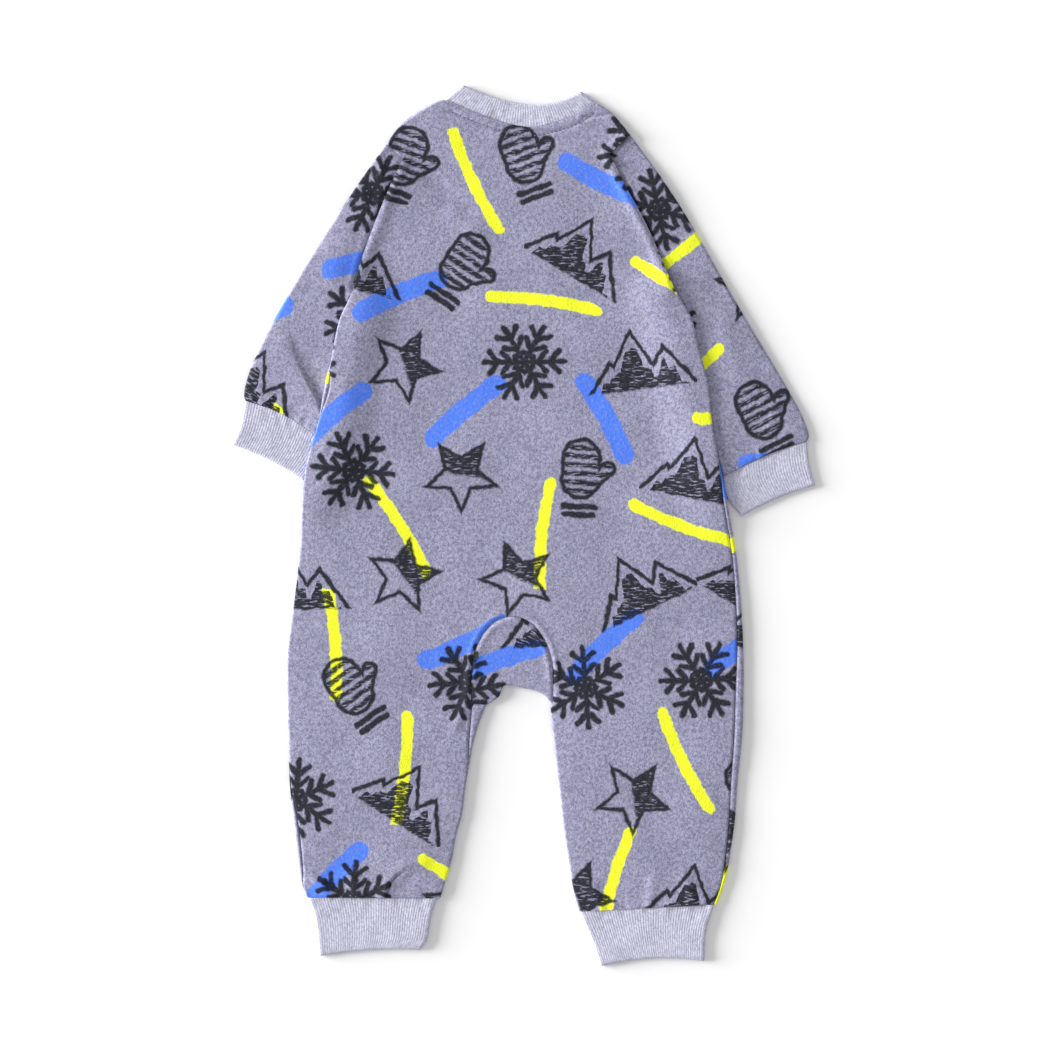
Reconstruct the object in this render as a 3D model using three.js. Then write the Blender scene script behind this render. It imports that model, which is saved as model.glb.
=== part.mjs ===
import * as THREE from 'three';

// A baby's long-sleeved coverall laid flat with its back up. Each cut piece is a wall of cloth: the back,
// two fronts that meet at the centre, a crotch gusset, two sleeves, and rib bands at the neck, wrists and
// ankles. Millimetres: +X to the right, +Y from the ankles to the neck, +Z up from the surface that it
// lies on. left and right are as seen from above.

const CLOTH = 1.4;
const RIB_CLOTH = 1.5;
const RIB_RAISE = 0.35;
const RIB_PITCH = 2.15;
const SEAM_GAP = 0.3;
const BAND_GAP = 0.4;
const NECK_GAPS = { back: 1, front: 1.6 };
const SHOULDER_GAP = 0.6;

// Heights of the flattened body and tubes, and of the lift where the body lies on a sleeve.
const BODY_HEIGHT = 3.9;
const SLEEVE_HEIGHT = 3.6;
const ARMHOLE_HEIGHT = 3.2;
const CUFF_HEIGHT = 3.4;
const BAND_HEIGHT = 4.1;
const LIFT = 4.05;
const LIFT_HALF_WIDTH = 9.5;
const LIFT_FADE = 34;

const ROLL = BODY_HEIGHT / 2;
const QUARTER_ROLL = ROLL * Math.PI / 2;
const FLAT_START = 1;

// Folded side edges from the underarm to the hem. leftSeam and rightSeam say how far the front panel
// comes round each edge onto the upper side.
const BODY_SIDES = [
  { y: 176.6, left: -127.5, leftSeam: 0, right: 112.5, rightSeam: 0 },
  { y: 156.4, left: -137.6, leftSeam: 0, right: 125.3, rightSeam: 0 },
  { y: 134.6, left: -142.9, leftSeam: 0, right: 130.5, rightSeam: 0 },
  { y: 121.9, left: -145.1, leftSeam: 0.3, right: 134.3, rightSeam: 0 },
  { y: 101.6, left: -149.7, leftSeam: 3.5, right: 138.8, rightSeam: 0 },
  { y: 79.9, left: -153.8, leftSeam: 0.4, right: 140.6, rightSeam: 0 },
  { y: 49.1, left: -162.4, leftSeam: 0, right: 145.9, rightSeam: 0 },
  { y: 34.1, left: -165, leftSeam: 0, right: 148.9, rightSeam: 1.5 },
  { y: 13.9, left: -166.7, leftSeam: 0, right: 152.6, rightSeam: 3 },
  { y: -18.4, left: -168.3, leftSeam: 0, right: 158.6, rightSeam: 3.5 },
  { y: -55.9, left: -172.5, leftSeam: 0, right: 162.4, rightSeam: 4 },
  { y: -93.4, left: -177.4, leftSeam: 0, right: 164.3, rightSeam: 5 },
  { y: -123.4, left: -177.8, leftSeam: 0, right: 164.6, rightSeam: 6.4 },
  { y: -157.1, left: -177, leftSeam: 0, right: 163.5, rightSeam: 6.5 },
  { y: -190.9, left: -175.9, leftSeam: 0.3, right: 160.1, rightSeam: 5.3 },
  { y: -220.9, left: -172.5, leftSeam: 3, right: 157.9, rightSeam: 4.5 },
  { y: -258.4, left: -168, leftSeam: 2.5, right: 152.3, rightSeam: 3 },
  { y: -271.1, left: -165.8, leftSeam: 0.3, right: 148.9, rightSeam: 2.4 },
  { y: -284, left: -160, leftSeam: 0, right: 144, rightSeam: 2.2 },
];

// Folded inner edges of the legs, from the crotch to the hem.
const INNER_LEGS = [
  { y: -132, left: -27.4, leftSeam: 11.6, right: 19.2 },
  { y: -148.1, left: -33.8, leftSeam: 6.5, right: 20.2 },
  { y: -162.4, left: -37.9, leftSeam: 3.5, right: 21.9 },
  { y: -175.9, left: -40.5, leftSeam: 1, right: 23.5 },
  { y: -194.6, left: -43.5, leftSeam: 0, right: 25.6 },
  { y: -215.6, left: -46.1, leftSeam: 0, right: 27.9 },
  { y: -231.4, left: -50.3, leftSeam: 0, right: 29.9 },
  { y: -253.9, left: -54.8, leftSeam: 0, right: 33.4 },
  { y: -271.1, left: -60, leftSeam: 0, right: 36.3 },
  { y: -289, left: -65.6, leftSeam: 0, right: 40.7 },
];

const HEMS = {
  left: { outerY: -277.7, innerY: -277.9 },
  right: { outerY: -283, innerY: -288.2 },
};

// Armhole seams from the underarm to the corner near the shoulder, then straight to the shoulder's edge.
const ARMHOLES = {
  left: {
    seam: [[-127.5, 176.6], [-121.5, 199.1], [-112.5, 224.6], [-97.5, 260.6], [-90, 275.6]],
    shoulder: [-103.5, 286],
  },
  right: {
    seam: [[112.5, 176.6], [92.3, 223.9], [75.8, 254.6], [63.8, 278.6]],
    shoulder: [79.7, 292.9],
  },
};
const ARMHOLE_STEPS = 10;
const ARMHOLE_CORNER = 0.8;
const SLEEVE_TUCK = 1;
const SLEEVE_TUCK_END = { from: 0.78, length: 0.14 };
const SLEEVE_END_SHARE = BAND_GAP / 400;
const BESIDE_REACH = 0.04;
const FRONT_TUCK = 1.4;

// Shoulder edges from the armhole to the neck. The front stops short of the collar's fold.
const SHOULDERS = {
  left: {
    edge: [[-103.5, 286], [-92.3, 300.9], [-84.7, 306.5], [-72.5, 314.3], [-65.3, 318]],
    neck: [-60.2, 319.1],
  },
  right: {
    edge: [[79.7, 292.9], [73.6, 300.6], [66, 309.2], [57, 315.4]],
    neck: [53.4, 317.8],
  },
};

// The collar's seams and free edges. It is folded from NECK_LEFT to PEAK_LEFT and from NECK_RIGHT to
// PEAK_RIGHT. Its bands start COLLAR_START of their width away from the seam.
const COLLAR_START = 0.01;
const COLLAR_RIBS = 54;
const NECK_LEFT = [-58.8, 319.4];
const NECK_RIGHT = [52.2, 318.4];
const PEAK_LEFT = [-46.3, 330.4];
const PEAK_RIGHT = [43.1, 325.4];
const BACK_NECK_SEAM = [
  NECK_LEFT, [-40, 311], [-16.5, 302.6], [4, 298.8], [24, 302.6], [40.4, 308.9], NECK_RIGHT,
];
const BACK_NECK_EDGE = [
  PEAK_LEFT, [-33, 325.1], [-18.8, 320.1], [-3.8, 316.9], [12, 315.6], [30.4, 319.9], PEAK_RIGHT,
];
const CENTRE_X = -2.5;
const FRONT_NECK_SEAM = {
  left: [NECK_LEFT, [-50, 290], [-28, 268], [CENTRE_X, 262]],
  right: [NECK_RIGHT, [44, 290], [24, 268], [CENTRE_X, 262]],
};
const FRONT_NECK_EDGE = {
  left: [PEAK_LEFT, [-38, 303], [-20, 284], [CENTRE_X, 279]],
  right: [PEAK_RIGHT, [33, 302], [16, 284], [CENTRE_X, 279]],
};

// The arched top of the gusset is half an ellipse that stands on straight sides.
const ARCH = { x: -9, y: -112.5, halfWidth: 30.6, rise: 45 };
const FRONT_CROTCH_Y = -116;
const LEG_SPLIT_Y = -130;
const LEG_TOP_Y = -132;
const CROTCH_SIDES = { left: -39.8, right: 21.8 };
const GUSSET_FOLD = [
  [-39.6, -129], [-30, -131], [-21, -129], [-14, -122.5], [-3, -121], [10, -124], [19, -129.6],
];
const GUSSET_ROWS = { upper: 6, fold: 6, under: 3 };

// Sleeve edges from the armhole to the cuff, and how far the cuff's seam bows towards the shoulder.
const SLEEVES = {
  left: {
    outer: [[-103.5, 286], [-118.5, 264.8], [-142.6, 228.6], [-174.8, 176.3], [-194.8, 140.2],
      [-206.9, 112.1], [-209.9, 97.9], [-208.8, 93.6]],
    inner: [[-127.5, 176.6], [-135, 140], [-142, 100], [-148.5, 60.4]],
    bow: 5,
  },
  right: {
    outer: [[79.7, 292.9], [99.7, 265.5], [117.8, 238.3], [136, 207.4], [157.9, 169.1], [174.2, 141.9],
      [190.5, 114.7], [207.8, 83.6], [213.5, 66.8], [211.9, 63.4]],
    inner: [[112.5, 176.6], [118, 160], [129, 110], [140, 68], [148.8, 36.9]],
    bow: 2.4,
  },
};

// Rib bands: the ends of their rows from the seam to the free edge, and the bow of the first and last row.
const CUFFS = {
  left: {
    start: [[-148.5, 60.4], [-156, 46], [-165, 34.1]],
    end: [[-208.8, 93.6], [-212.5, 74.6], [-218.3, 61.1]],
    bows: [5, 2],
  },
  right: {
    start: [[148.8, 36.9], [151.5, 22.5], [162.8, 7.1]],
    end: [[211.9, 63.4], [213.5, 47.5], [218.1, 30.4]],
    bows: [2.4, 2],
  },
};
const ANKLES = {
  left: {
    start: [[-161.6, -278.2], [-156.8, -292.1], [-153.3, -321.9]],
    end: [[-65.3, -278.6], [-69.4, -292.1], [-74.6, -317.6]],
    bows: [0.3, 2.2],
  },
  right: {
    start: [[41.6, -288.6], [50, -308.6], [57.4, -329.6]],
    end: [[142.5, -283.4], [136.5, -303.4], [134.9, -325.9]],
    bows: [0.4, 4],
  },
};

// Where the body lies on the sleeves and cuffs, as lines along the middle of each overlap.
const OVERLAPS = [
  [[-131, 172], [-139, 140], [-147, 100], [-153, 60], [-162, 36]],
  [[117, 172], [121, 158], [127, 134], [133, 110], [141, 68], [149, 30]],
];

// The largest folds of the upper side: a ridge where height is positive, a valley where it is negative.
const BODY_FOLDS = [
  { from: [-126, 184], to: [-92, 272], height: 1.2, width: 6 },
  { from: [-92, 272], to: [-103, 285], height: 1.2, width: 6 },
  { from: [109, 184], to: [65.6, 275], height: 1.2, width: 6 },
  { from: [65.6, 275], to: [79, 292], height: 1.2, width: 6 },
  { from: [-69.4, 257.6], to: [-43.5, 233.6], height: -0.6, width: 9 },
  { from: [-52, 233.6], to: [-35.6, 216.4], height: 0.7, width: 9 },
  { from: [-77.5, -252.4], to: [-103.5, -275.6], height: 1.1, width: 6 },
  { from: [-151.1, -267], to: [-144, -276.8], height: -0.6, width: 6 },
  { from: [-46.8, -106], to: [-49, -138.1], height: -0.6, width: 7 },
  { from: [-48, -125], to: [-51, -147.4], height: 0.8, width: 5 },
];
const SLEEVE_FOLDS = [
  { from: [-109.2, 278.6], to: [-107.3, 263.3], height: 0.8, width: 4 },
  { from: [-118.5, 263.3], to: [-108.8, 232.9], height: -0.4, width: 5 },
  { from: [-171, 135.4], to: [-153.8, 90.4], height: -0.4, width: 5 },
];

const lerp = THREE.MathUtils.lerp;
const smooth = (t) => THREE.MathUtils.smoothstep(t, 0, 1);
const plan = ([x, y]) => new THREE.Vector3(x, y, 0);
const steps = (count) => Array.from({ length: count + 1 }, (_, i) => i / count);

// A function of y through one column of a table, with slopes taken from the rows on each side.
function tableColumn(table, name) {
  const rows = [...table].sort((a, b) => a.y - b.y);
  const last = rows.length - 1;
  const slopes = rows.map((_, i) => {
    const below = rows[Math.max(i - 1, 0)];
    const above = rows[Math.min(i + 1, last)];
    return (above[name] - below[name]) / (above.y - below.y);
  });
  return (y) => {
    const found = rows.findIndex((row) => row.y >= y);
    const i = THREE.MathUtils.clamp((found < 0 ? last : found) - 1, 0, last - 1);
    const span = rows[i + 1].y - rows[i].y;
    const t = (y - rows[i].y) / span;
    const ease = t * t * (3 - 2 * t);
    const curve = t * (1 - t) * span * (slopes[i] * (1 - t) - slopes[i + 1] * t);
    return lerp(rows[i][name], rows[i + 1][name], ease) + curve;
  };
}

// A smooth plan curve through points, read by its share of the length.
function smoothCurve(points) {
  const curve = new THREE.CatmullRomCurve3(points.map(plan));
  return (t) => curve.getPointAt(THREE.MathUtils.clamp(t, 0, 1));
}

// A curve moved sideways by a distance, to the right of its direction where turn is 1.
function besideCurve(curve, distance, turn) {
  return (t) => {
    const [before, after] = [Math.max(t - BESIDE_REACH, 0), Math.min(t + BESIDE_REACH, 1)];
    const ahead = curve(after).sub(curve(before)).normalize();
    return curve(t).add(new THREE.Vector3(ahead.y, -ahead.x, 0).multiplyScalar(distance * turn));
  };
}

// A plan patch filled between four edges that meet at its corners.
function fillPatch(bottom, top, left, right) {
  const low = [bottom(0), bottom(1)];
  const high = [top(0), top(1)];
  return (u, v) => {
    const across = left(v).lerp(right(v), u);
    const along = bottom(u).lerp(top(u), v);
    const corners = low[0].clone().lerp(low[1], u).lerp(high[0].clone().lerp(high[1], u), v);
    return across.add(along).sub(corners);
  };
}

// A line from one plan point to another, bowed sideways in the middle.
function bowedLine(from, to, bow) {
  const ahead = to.clone().sub(from).normalize();
  const side = new THREE.Vector3(-ahead.y, ahead.x, 0);
  return (u) => from.clone().lerp(to, u).addScaledVector(side, bow * 4 * u * (1 - u));
}

function distanceToSegment(x, y, from, to) {
  const [dx, dy] = [to[0] - from[0], to[1] - from[1]];
  const t = THREE.MathUtils.clamp(((x - from[0]) * dx + (y - from[1]) * dy) / (dx * dx + dy * dy), 0, 1);
  return Math.hypot(x - from[0] - t * dx, y - from[1] - t * dy);
}

// How high the body is raised by the sleeves that it lies on.
function liftAt(x, y) {
  let nearest = Infinity;
  for (const line of OVERLAPS) {
    for (let i = 1; i < line.length; i += 1) {
      nearest = Math.min(nearest, distanceToSegment(x, y, line[i - 1], line[i]));
    }
  }
  return LIFT * (1 - smooth((nearest - LIFT_HALF_WIDTH) / LIFT_FADE));
}

function foldAt(folds, x, y) {
  return folds.reduce((sum, fold) => {
    const reach = distanceToSegment(x, y, fold.from, fold.to) / fold.width;
    return sum + fold.height * Math.exp(-reach * reach);
  }, 0);
}

// A corner of a wall: the outer point, and the inner point one thickness behind it.
function corner(x, y, z, normal, thickness, raise = 0) {
  return {
    outer: new THREE.Vector3(x, y, z).addScaledVector(normal, raise),
    inner: new THREE.Vector3(x, y, z).addScaledVector(normal, -thickness),
  };
}

function bodyCorner(x, y, height, normal) {
  const z = liftAt(x, y) + height + foldAt(BODY_FOLDS, x, y) * height / BODY_HEIGHT;
  return corner(x, y, z, normal, CLOTH);
}

// A closed wall of cloth, put together from grids of corners. Grids join where their outer points are
// the same to one part in JOIN_STEPS of a millimetre.
const JOIN_STEPS = 200;

class Wall {
  constructor() {
    this.corners = [];
    this.numbers = new Map();
    this.faces = [];
  }

  number(point) {
    const key = point.outer.toArray().map((value) => Math.round(value * JOIN_STEPS)).join(' ');
    if (!this.numbers.has(key)) {
      this.numbers.set(key, this.corners.length);
      this.corners.push(point);
    }
    return this.numbers.get(key);
  }

  grid(rows) {
    const numbered = rows.map((row) => row.map((point) => this.number(point)));
    for (let i = 1; i < rows.length; i += 1) {
      for (let j = 1; j < rows[i].length; j += 1) {
        const [a, b] = [numbered[i - 1][j - 1], numbered[i - 1][j]];
        const [c, d] = [numbered[i][j], numbered[i][j - 1]];
        for (const face of [[a, b, c], [a, c, d]]) {
          if (new Set(face).size === 3) this.faces.push(face);
        }
      }
    }
    return this;
  }

  mesh(name, material) {
    const count = this.corners.length;
    const edges = new Set(this.faces.flatMap(([a, b, c]) => [`${a} ${b}`, `${b} ${c}`, `${c} ${a}`]));
    const triangles = this.faces.flatMap(([a, b, c]) => [[a, b, c], [a + count, c + count, b + count]]);
    for (const edge of edges) {
      const [a, b] = edge.split(' ').map(Number);
      if (!edges.has(`${b} ${a}`)) triangles.push([b, a, a + count], [b, a + count, b + count]);
    }
    const outerPoints = this.corners.map((point) => point.outer);
    const points = [...outerPoints, ...this.corners.map((point) => point.inner)];
    const volume = triangles.reduce((sum, [a, b, c]) => (
      sum + points[a].dot(new THREE.Vector3().crossVectors(points[b], points[c]))), 0);
    if (volume < 0) triangles.forEach((triangle) => triangle.reverse());
    const geometry = new THREE.BufferGeometry();
    const values = points.flatMap((point) => point.toArray());
    geometry.setAttribute('position', new THREE.Float32BufferAttribute(values, 3));
    geometry.setIndex(triangles.flat());
    geometry.computeVertexNormals();
    const mesh = new THREE.Mesh(geometry, material);
    mesh.name = name;
    return mesh;
  }
}

// Cloth round a folded edge, at a length measured over the fold from its outermost line, up being positive.
function wrapFold(length) {
  const beyond = ROLL + Math.abs(length) - QUARTER_ROLL;
  if (length > QUARTER_ROLL) return { inward: beyond, height: BODY_HEIGHT, out: 0, up: 1 };
  if (length < -QUARTER_ROLL) return { inward: beyond, height: 0, out: 0, up: -1 };
  const angle = length / ROLL;
  return {
    inward: ROLL * (1 - Math.cos(angle)),
    height: ROLL * (1 + Math.sin(angle)),
    out: Math.cos(angle),
    up: Math.sin(angle),
  };
}

// The length over the fold that reaches an inset on the upper side.
function lengthToInset(inset) {
  if (inset < ROLL) return ROLL * Math.acos(1 - inset / ROLL);
  return QUARTER_ROLL + inset - ROLL;
}

// Steps of the body's grids, the same in the back and the fronts so that their seams match.
const BACK_EDGE_STEPS = 3;
const FRONT_EDGE_STEPS = 5;
const BACK_HALF_COLUMNS = 8;
const FRONT_COLUMNS = 6;
const FRONT_LEG_COLUMNS = 4;
const SHOULDER_COLUMNS = { back: BACK_EDGE_STEPS + 5, front: FRONT_EDGE_STEPS + 2 };
const CROWDING = 1.6;
const TORSO_STEPS = 12;
const ARCH_STEPS = 6;
const LEG_STEPS = 7;
const ROLL_STEPS = 3;
const UNDERARM_Y = BODY_SIDES[0].y;
const UNDERARM_FOLD_START = 2;
const UNDERARM_FOLD_LENGTH = 14;

const torsoYs = steps(TORSO_STEPS).map((t) => lerp(UNDERARM_Y, ARCH.y + ARCH.rise, t ** 1.25));
const archYs = steps(ARCH_STEPS).map((t) => ARCH.y + ARCH.rise * Math.cos(t * Math.PI / 2));
const crotchYs = [ARCH.y, FRONT_CROTCH_Y, LEG_SPLIT_Y];

const outerEdges = {
  left: { x: tableColumn(BODY_SIDES, 'left'), seam: tableColumn(BODY_SIDES, 'leftSeam'), inward: 1 },
  right: { x: tableColumn(BODY_SIDES, 'right'), seam: tableColumn(BODY_SIDES, 'rightSeam'), inward: -1 },
};
const innerEdges = {
  left: { x: tableColumn(INNER_LEGS, 'left'), seam: tableColumn(INNER_LEGS, 'leftSeam'), inward: -1 },
  right: { x: tableColumn(INNER_LEGS, 'right'), seam: () => 0, inward: 1 },
};

// Stations of one layer at a folded edge, from the side seam inwards. Above the underarm the fold opens
// out flat.
function foldStations(edge, y, layer) {
  const seam = Math.max(edge.seam(y), 0);
  const seamLength = lengthToInset(seam);
  const folded = smooth((UNDERARM_Y - y - UNDERARM_FOLD_START) / UNDERARM_FOLD_LENGTH);
  const back = layer === 'back';
  const inset = ROLL + FLAT_START + (back ? seam : 0);
  const from = seamLength + (back ? 1 : -1) * SEAM_GAP / 2;
  const to = back ? lengthToInset(inset) : -QUARTER_ROLL - FLAT_START;
  const flat = back ? { height: BODY_HEIGHT, up: 1 } : { height: 0, up: -1 };
  const edgeStart = back ? 0 : FRONT_TUCK;
  return steps(back ? BACK_EDGE_STEPS : FRONT_EDGE_STEPS).map((t) => {
    const wrapped = wrapFold(lerp(from, to, t));
    const facing = -edge.inward * wrapped.out * folded;
    const normal = new THREE.Vector3(facing, 0, lerp(flat.up, wrapped.up, folded));
    return {
      x: edge.x(y) + edge.inward * lerp(lerp(edgeStart, inset, t), wrapped.inward, folded),
      height: lerp(flat.height, wrapped.height, folded),
      normal: normal.normalize(),
    };
  });
}

const layerHeight = { back: BODY_HEIGHT, front: 0 };
const layerNormal = { back: new THREE.Vector3(0, 0, 1), front: new THREE.Vector3(0, 0, -1) };

function flatCorner(x, y, layer) {
  return bodyCorner(x, y, layerHeight[layer], layerNormal[layer]);
}

function foldCorners(edge, y, layer) {
  return foldStations(edge, y, layer).map((at) => bodyCorner(at.x, y, at.height, at.normal));
}

// Corners between two x values at one y, without the first one. crowding above 1 draws them towards the
// first.
function flatCorners(fromX, toX, y, columns, layer, crowding = 1) {
  return steps(columns).slice(1).map((t) => flatCorner(lerp(fromX, toX, t ** crowding), y, layer));
}

const lastX = (corners) => corners[corners.length - 1].outer.x;

function armhole(side, stopShort) {
  const { seam, shoulder } = ARMHOLES[side];
  const curve = smoothCurve(seam);
  const bend = plan(seam[seam.length - 1]);
  const end = plan(shoulder).addScaledVector(shoulderDirection(side), -stopShort);
  return (t) => {
    if (t <= ARMHOLE_CORNER) return curve(t / ARMHOLE_CORNER);
    return bend.clone().lerp(end, (t - ARMHOLE_CORNER) / (1 - ARMHOLE_CORNER));
  };
}

// The plan direction in which a shoulder's fold faces, along the armhole's straight end.
function shoulderDirection(side) {
  const { seam, shoulder } = ARMHOLES[side];
  return plan(shoulder).sub(plan(seam[seam.length - 1])).normalize();
}

// The upper part of one layer, between the armholes or from an armhole to the centre front, with its
// shoulder folds.
function addUpperBody(wall, layer, underarmRow, edges) {
  const first = underarmRow[0].outer;
  const last = underarmRow[underarmRow.length - 1].outer;
  const shares = underarmRow.map((point) => (point.outer.x - first.x) / (last.x - first.x));
  const bottom = (u) => first.clone().setZ(0).lerp(last.clone().setZ(0), u);
  const top = (u) => {
    const part = edges.top.find((piece) => u <= shares[piece.to] + 1e-9);
    const start = shares[part.from];
    return part.curve((u - start) / (shares[part.to] - start));
  };
  const patch = fillPatch(bottom, top, edges.left, edges.right);
  const rows = steps(ARMHOLE_STEPS).slice(1).map((v) => shares.map((u) => {
    const point = patch(u, v);
    return flatCorner(point.x, point.y, layer);
  }));
  wall.grid([underarmRow, ...rows].reverse());
  const topRow = rows[rows.length - 1];
  for (const part of edges.top.filter((piece) => piece.shoulder)) {
    const base = topRow.slice(part.from, part.to + 1);
    const sign = layer === 'back' ? 1 : -1;
    const facing = shoulderDirection(part.shoulder);
    const rolled = steps(ROLL_STEPS).slice(1).map((t) => {
      const at = wrapFold(sign * lerp(QUARTER_ROLL + FLAT_START, SHOULDER_GAP / 2, t));
      const reach = ROLL + FLAT_START - at.inward;
      const normal = facing.clone().multiplyScalar(at.out).setZ(at.up);
      return base.map(({ outer }) => bodyCorner(
        outer.x + facing.x * reach, outer.y + facing.y * reach, at.height, normal));
    });
    wall.grid([base, ...rolled].reverse());
  }
}

// A shoulder's edge moved inwards to where its fold begins.
function shoulderInset(side, points) {
  const curve = smoothCurve(points);
  const inset = shoulderDirection(side).multiplyScalar(-(ROLL + FLAT_START));
  return (t) => curve(t).add(inset);
}

function reversed(curve) {
  return (t) => curve(1 - t);
}

// One leg of one layer below the crotch: rows that turn from level to the slope of the hem.
function addLeg(wall, layer, side, columns, splitRow) {
  const { outerY, innerY } = HEMS[side];
  const rows = steps(LEG_STEPS).map((v) => {
    const outer = outerEdges[side];
    const inner = innerEdges[side];
    const yAt = (share) => lerp(LEG_TOP_Y, lerp(outerY, innerY, share), v);
    const outerCorners = foldCorners(outer, yAt(0), layer);
    const innerCorners = foldCorners(inner, yAt(1), layer);
    const [fromX, toX] = [lastX(outerCorners), lastX(innerCorners)];
    const between = steps(columns).slice(1, -1).map((t) => {
      const share = t ** lerp(CROWDING, 1, smooth(v));
      return flatCorner(lerp(fromX, toX, share), yAt(share), layer);
    });
    const main = [...outerCorners, ...between, innerCorners[innerCorners.length - 1]];
    return { main, inner: innerCorners.reverse() };
  });
  wall.grid([splitRow, ...rows.map((row) => row.main)]);
  wall.grid(rows.map((row) => row.inner));
}

function archX(y, side) {
  const rise = THREE.MathUtils.clamp((y - ARCH.y) / ARCH.rise, 0, 1);
  return ARCH.x + (side === 'left' ? -1 : 1) * (ARCH.halfWidth * Math.sqrt(1 - rise * rise));
}

// The back panel: one piece from the shoulders to both ankles, arched over the gusset.
function makeBack() {
  const wall = new Wall();
  const halfRow = (side, y, innerX) => {
    const fold = foldCorners(outerEdges[side], y, 'back');
    return [...fold, ...flatCorners(lastX(fold), innerX, y, BACK_HALF_COLUMNS, 'back', CROWDING)];
  };
  const backRow = (y) => {
    const share = smooth((UNDERARM_Y - y) / (UNDERARM_Y - archYs[0]));
    const middle = lerp((outerEdges.left.x(y) + outerEdges.right.x(y)) / 2, ARCH.x, share);
    return [...halfRow('left', y, middle), ...halfRow('right', y, middle).reverse().slice(1)];
  };
  const torso = torsoYs.map(backRow);
  wall.grid(torso);
  const columns = torso[0].length - 1;
  addUpperBody(wall, 'back', torso[0], {
    left: armhole('left', ROLL + FLAT_START),
    right: armhole('right', ROLL + FLAT_START),
    top: [
      {
        shoulder: 'left', from: 0, to: SHOULDER_COLUMNS.back,
        curve: shoulderInset('left', [...SHOULDERS.left.edge, SHOULDERS.left.neck]),
      },
      {
        from: SHOULDER_COLUMNS.back, to: columns - SHOULDER_COLUMNS.back + 1,
        curve: besideCurve(smoothCurve(BACK_NECK_SEAM), NECK_GAPS.back, 1),
      },
      {
        shoulder: 'right', from: columns - SHOULDER_COLUMNS.back + 1, to: columns,
        curve: reversed(shoulderInset('right', [...SHOULDERS.right.edge, SHOULDERS.right.neck])),
      },
    ],
  });
  for (const side of ['left', 'right']) {
    const rows = [...archYs, ...crotchYs.slice(1)].map((y) => {
      const seamX = y === archYs[0] ? ARCH.x : archX(y, side) - outerEdges[side].inward * SEAM_GAP / 2;
      return halfRow(side, y, seamX);
    });
    wall.grid(side === 'left' ? rows : rows.map((row) => [...row].reverse()));
    const split = rows[rows.length - 1];
    const leg = new Wall();
    addLeg(leg, 'back', side, BACK_HALF_COLUMNS, split);
    mergeInto(wall, leg, side === 'right');
  }
  return wall;
}

// Adds one wall's faces to another, turned over where flip is true.
function mergeInto(wall, other, flip) {
  for (const face of other.faces) {
    const numbers = face.map((index) => wall.number(other.corners[index]));
    wall.faces.push(flip ? numbers.reverse() : numbers);
  }
}

// A front panel: from the side and the armhole to the centre front, and down its own leg.
function makeFront(side) {
  const wall = new Wall();
  const outer = outerEdges[side];
  const centre = CENTRE_X - outer.inward * SEAM_GAP / 2;
  const frontRow = (y) => {
    const share = smooth((UNDERARM_Y - y) / (UNDERARM_Y - FRONT_CROTCH_Y));
    const fold = foldCorners(outer, y, 'front');
    const evenX = lerp(lastX(fold), centre, FRONT_LEG_COLUMNS / FRONT_COLUMNS);
    const splitX = lerp(evenX, CROTCH_SIDES[side], share);
    return [
      ...fold,
      ...flatCorners(lastX(fold), splitX, y, FRONT_LEG_COLUMNS, 'front', CROWDING),
      ...flatCorners(splitX, centre, y, FRONT_COLUMNS - FRONT_LEG_COLUMNS, 'front'),
    ];
  };
  const torso = [...torsoYs, ...archYs.slice(1), FRONT_CROTCH_Y].map(frontRow);
  wall.grid(torso);
  const columns = torso[0].length - 1;
  const turn = outer.inward;
  const neck = besideCurve(smoothCurve(FRONT_NECK_SEAM[side]), NECK_GAPS.front, turn);
  const neckBottom = neck(1).setX(centre);
  addUpperBody(wall, 'front', torso[0], {
    left: besideCurve(armhole(side, ROLL + FLAT_START), FRONT_TUCK, turn),
    right: (v) => new THREE.Vector3(centre, lerp(UNDERARM_Y, neckBottom.y, v), 0),
    top: [
      {
        shoulder: side, from: 0, to: SHOULDER_COLUMNS.front,
        curve: besideStart(shoulderInset(side, SHOULDERS[side].edge), side),
      },
      {
        from: SHOULDER_COLUMNS.front, to: columns,
        curve: (t) => (t > 1 - 1e-9 ? neckBottom.clone() : neck(t)),
      },
    ],
  });
  const legRow = (y) => {
    const fold = foldCorners(outer, y, 'front');
    const toX = CROTCH_SIDES[side];
    return [...fold, ...flatCorners(lastX(fold), toX, y, FRONT_LEG_COLUMNS, 'front', CROWDING)];
  };
  const split = [FRONT_CROTCH_Y, LEG_SPLIT_Y].map(legRow);
  wall.grid(split);
  addLeg(wall, 'front', side, FRONT_LEG_COLUMNS, split[1]);
  return wall;
}

// A shoulder line whose first point stands clear of the sleeve's end.
function besideStart(curve, side) {
  const start = besideCurve(armhole(side, ROLL + FLAT_START), FRONT_TUCK, outerEdges[side].inward)(1);
  const offset = start.sub(curve(0));
  return (t) => curve(t).addScaledVector(offset, 1 - t);
}

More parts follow.
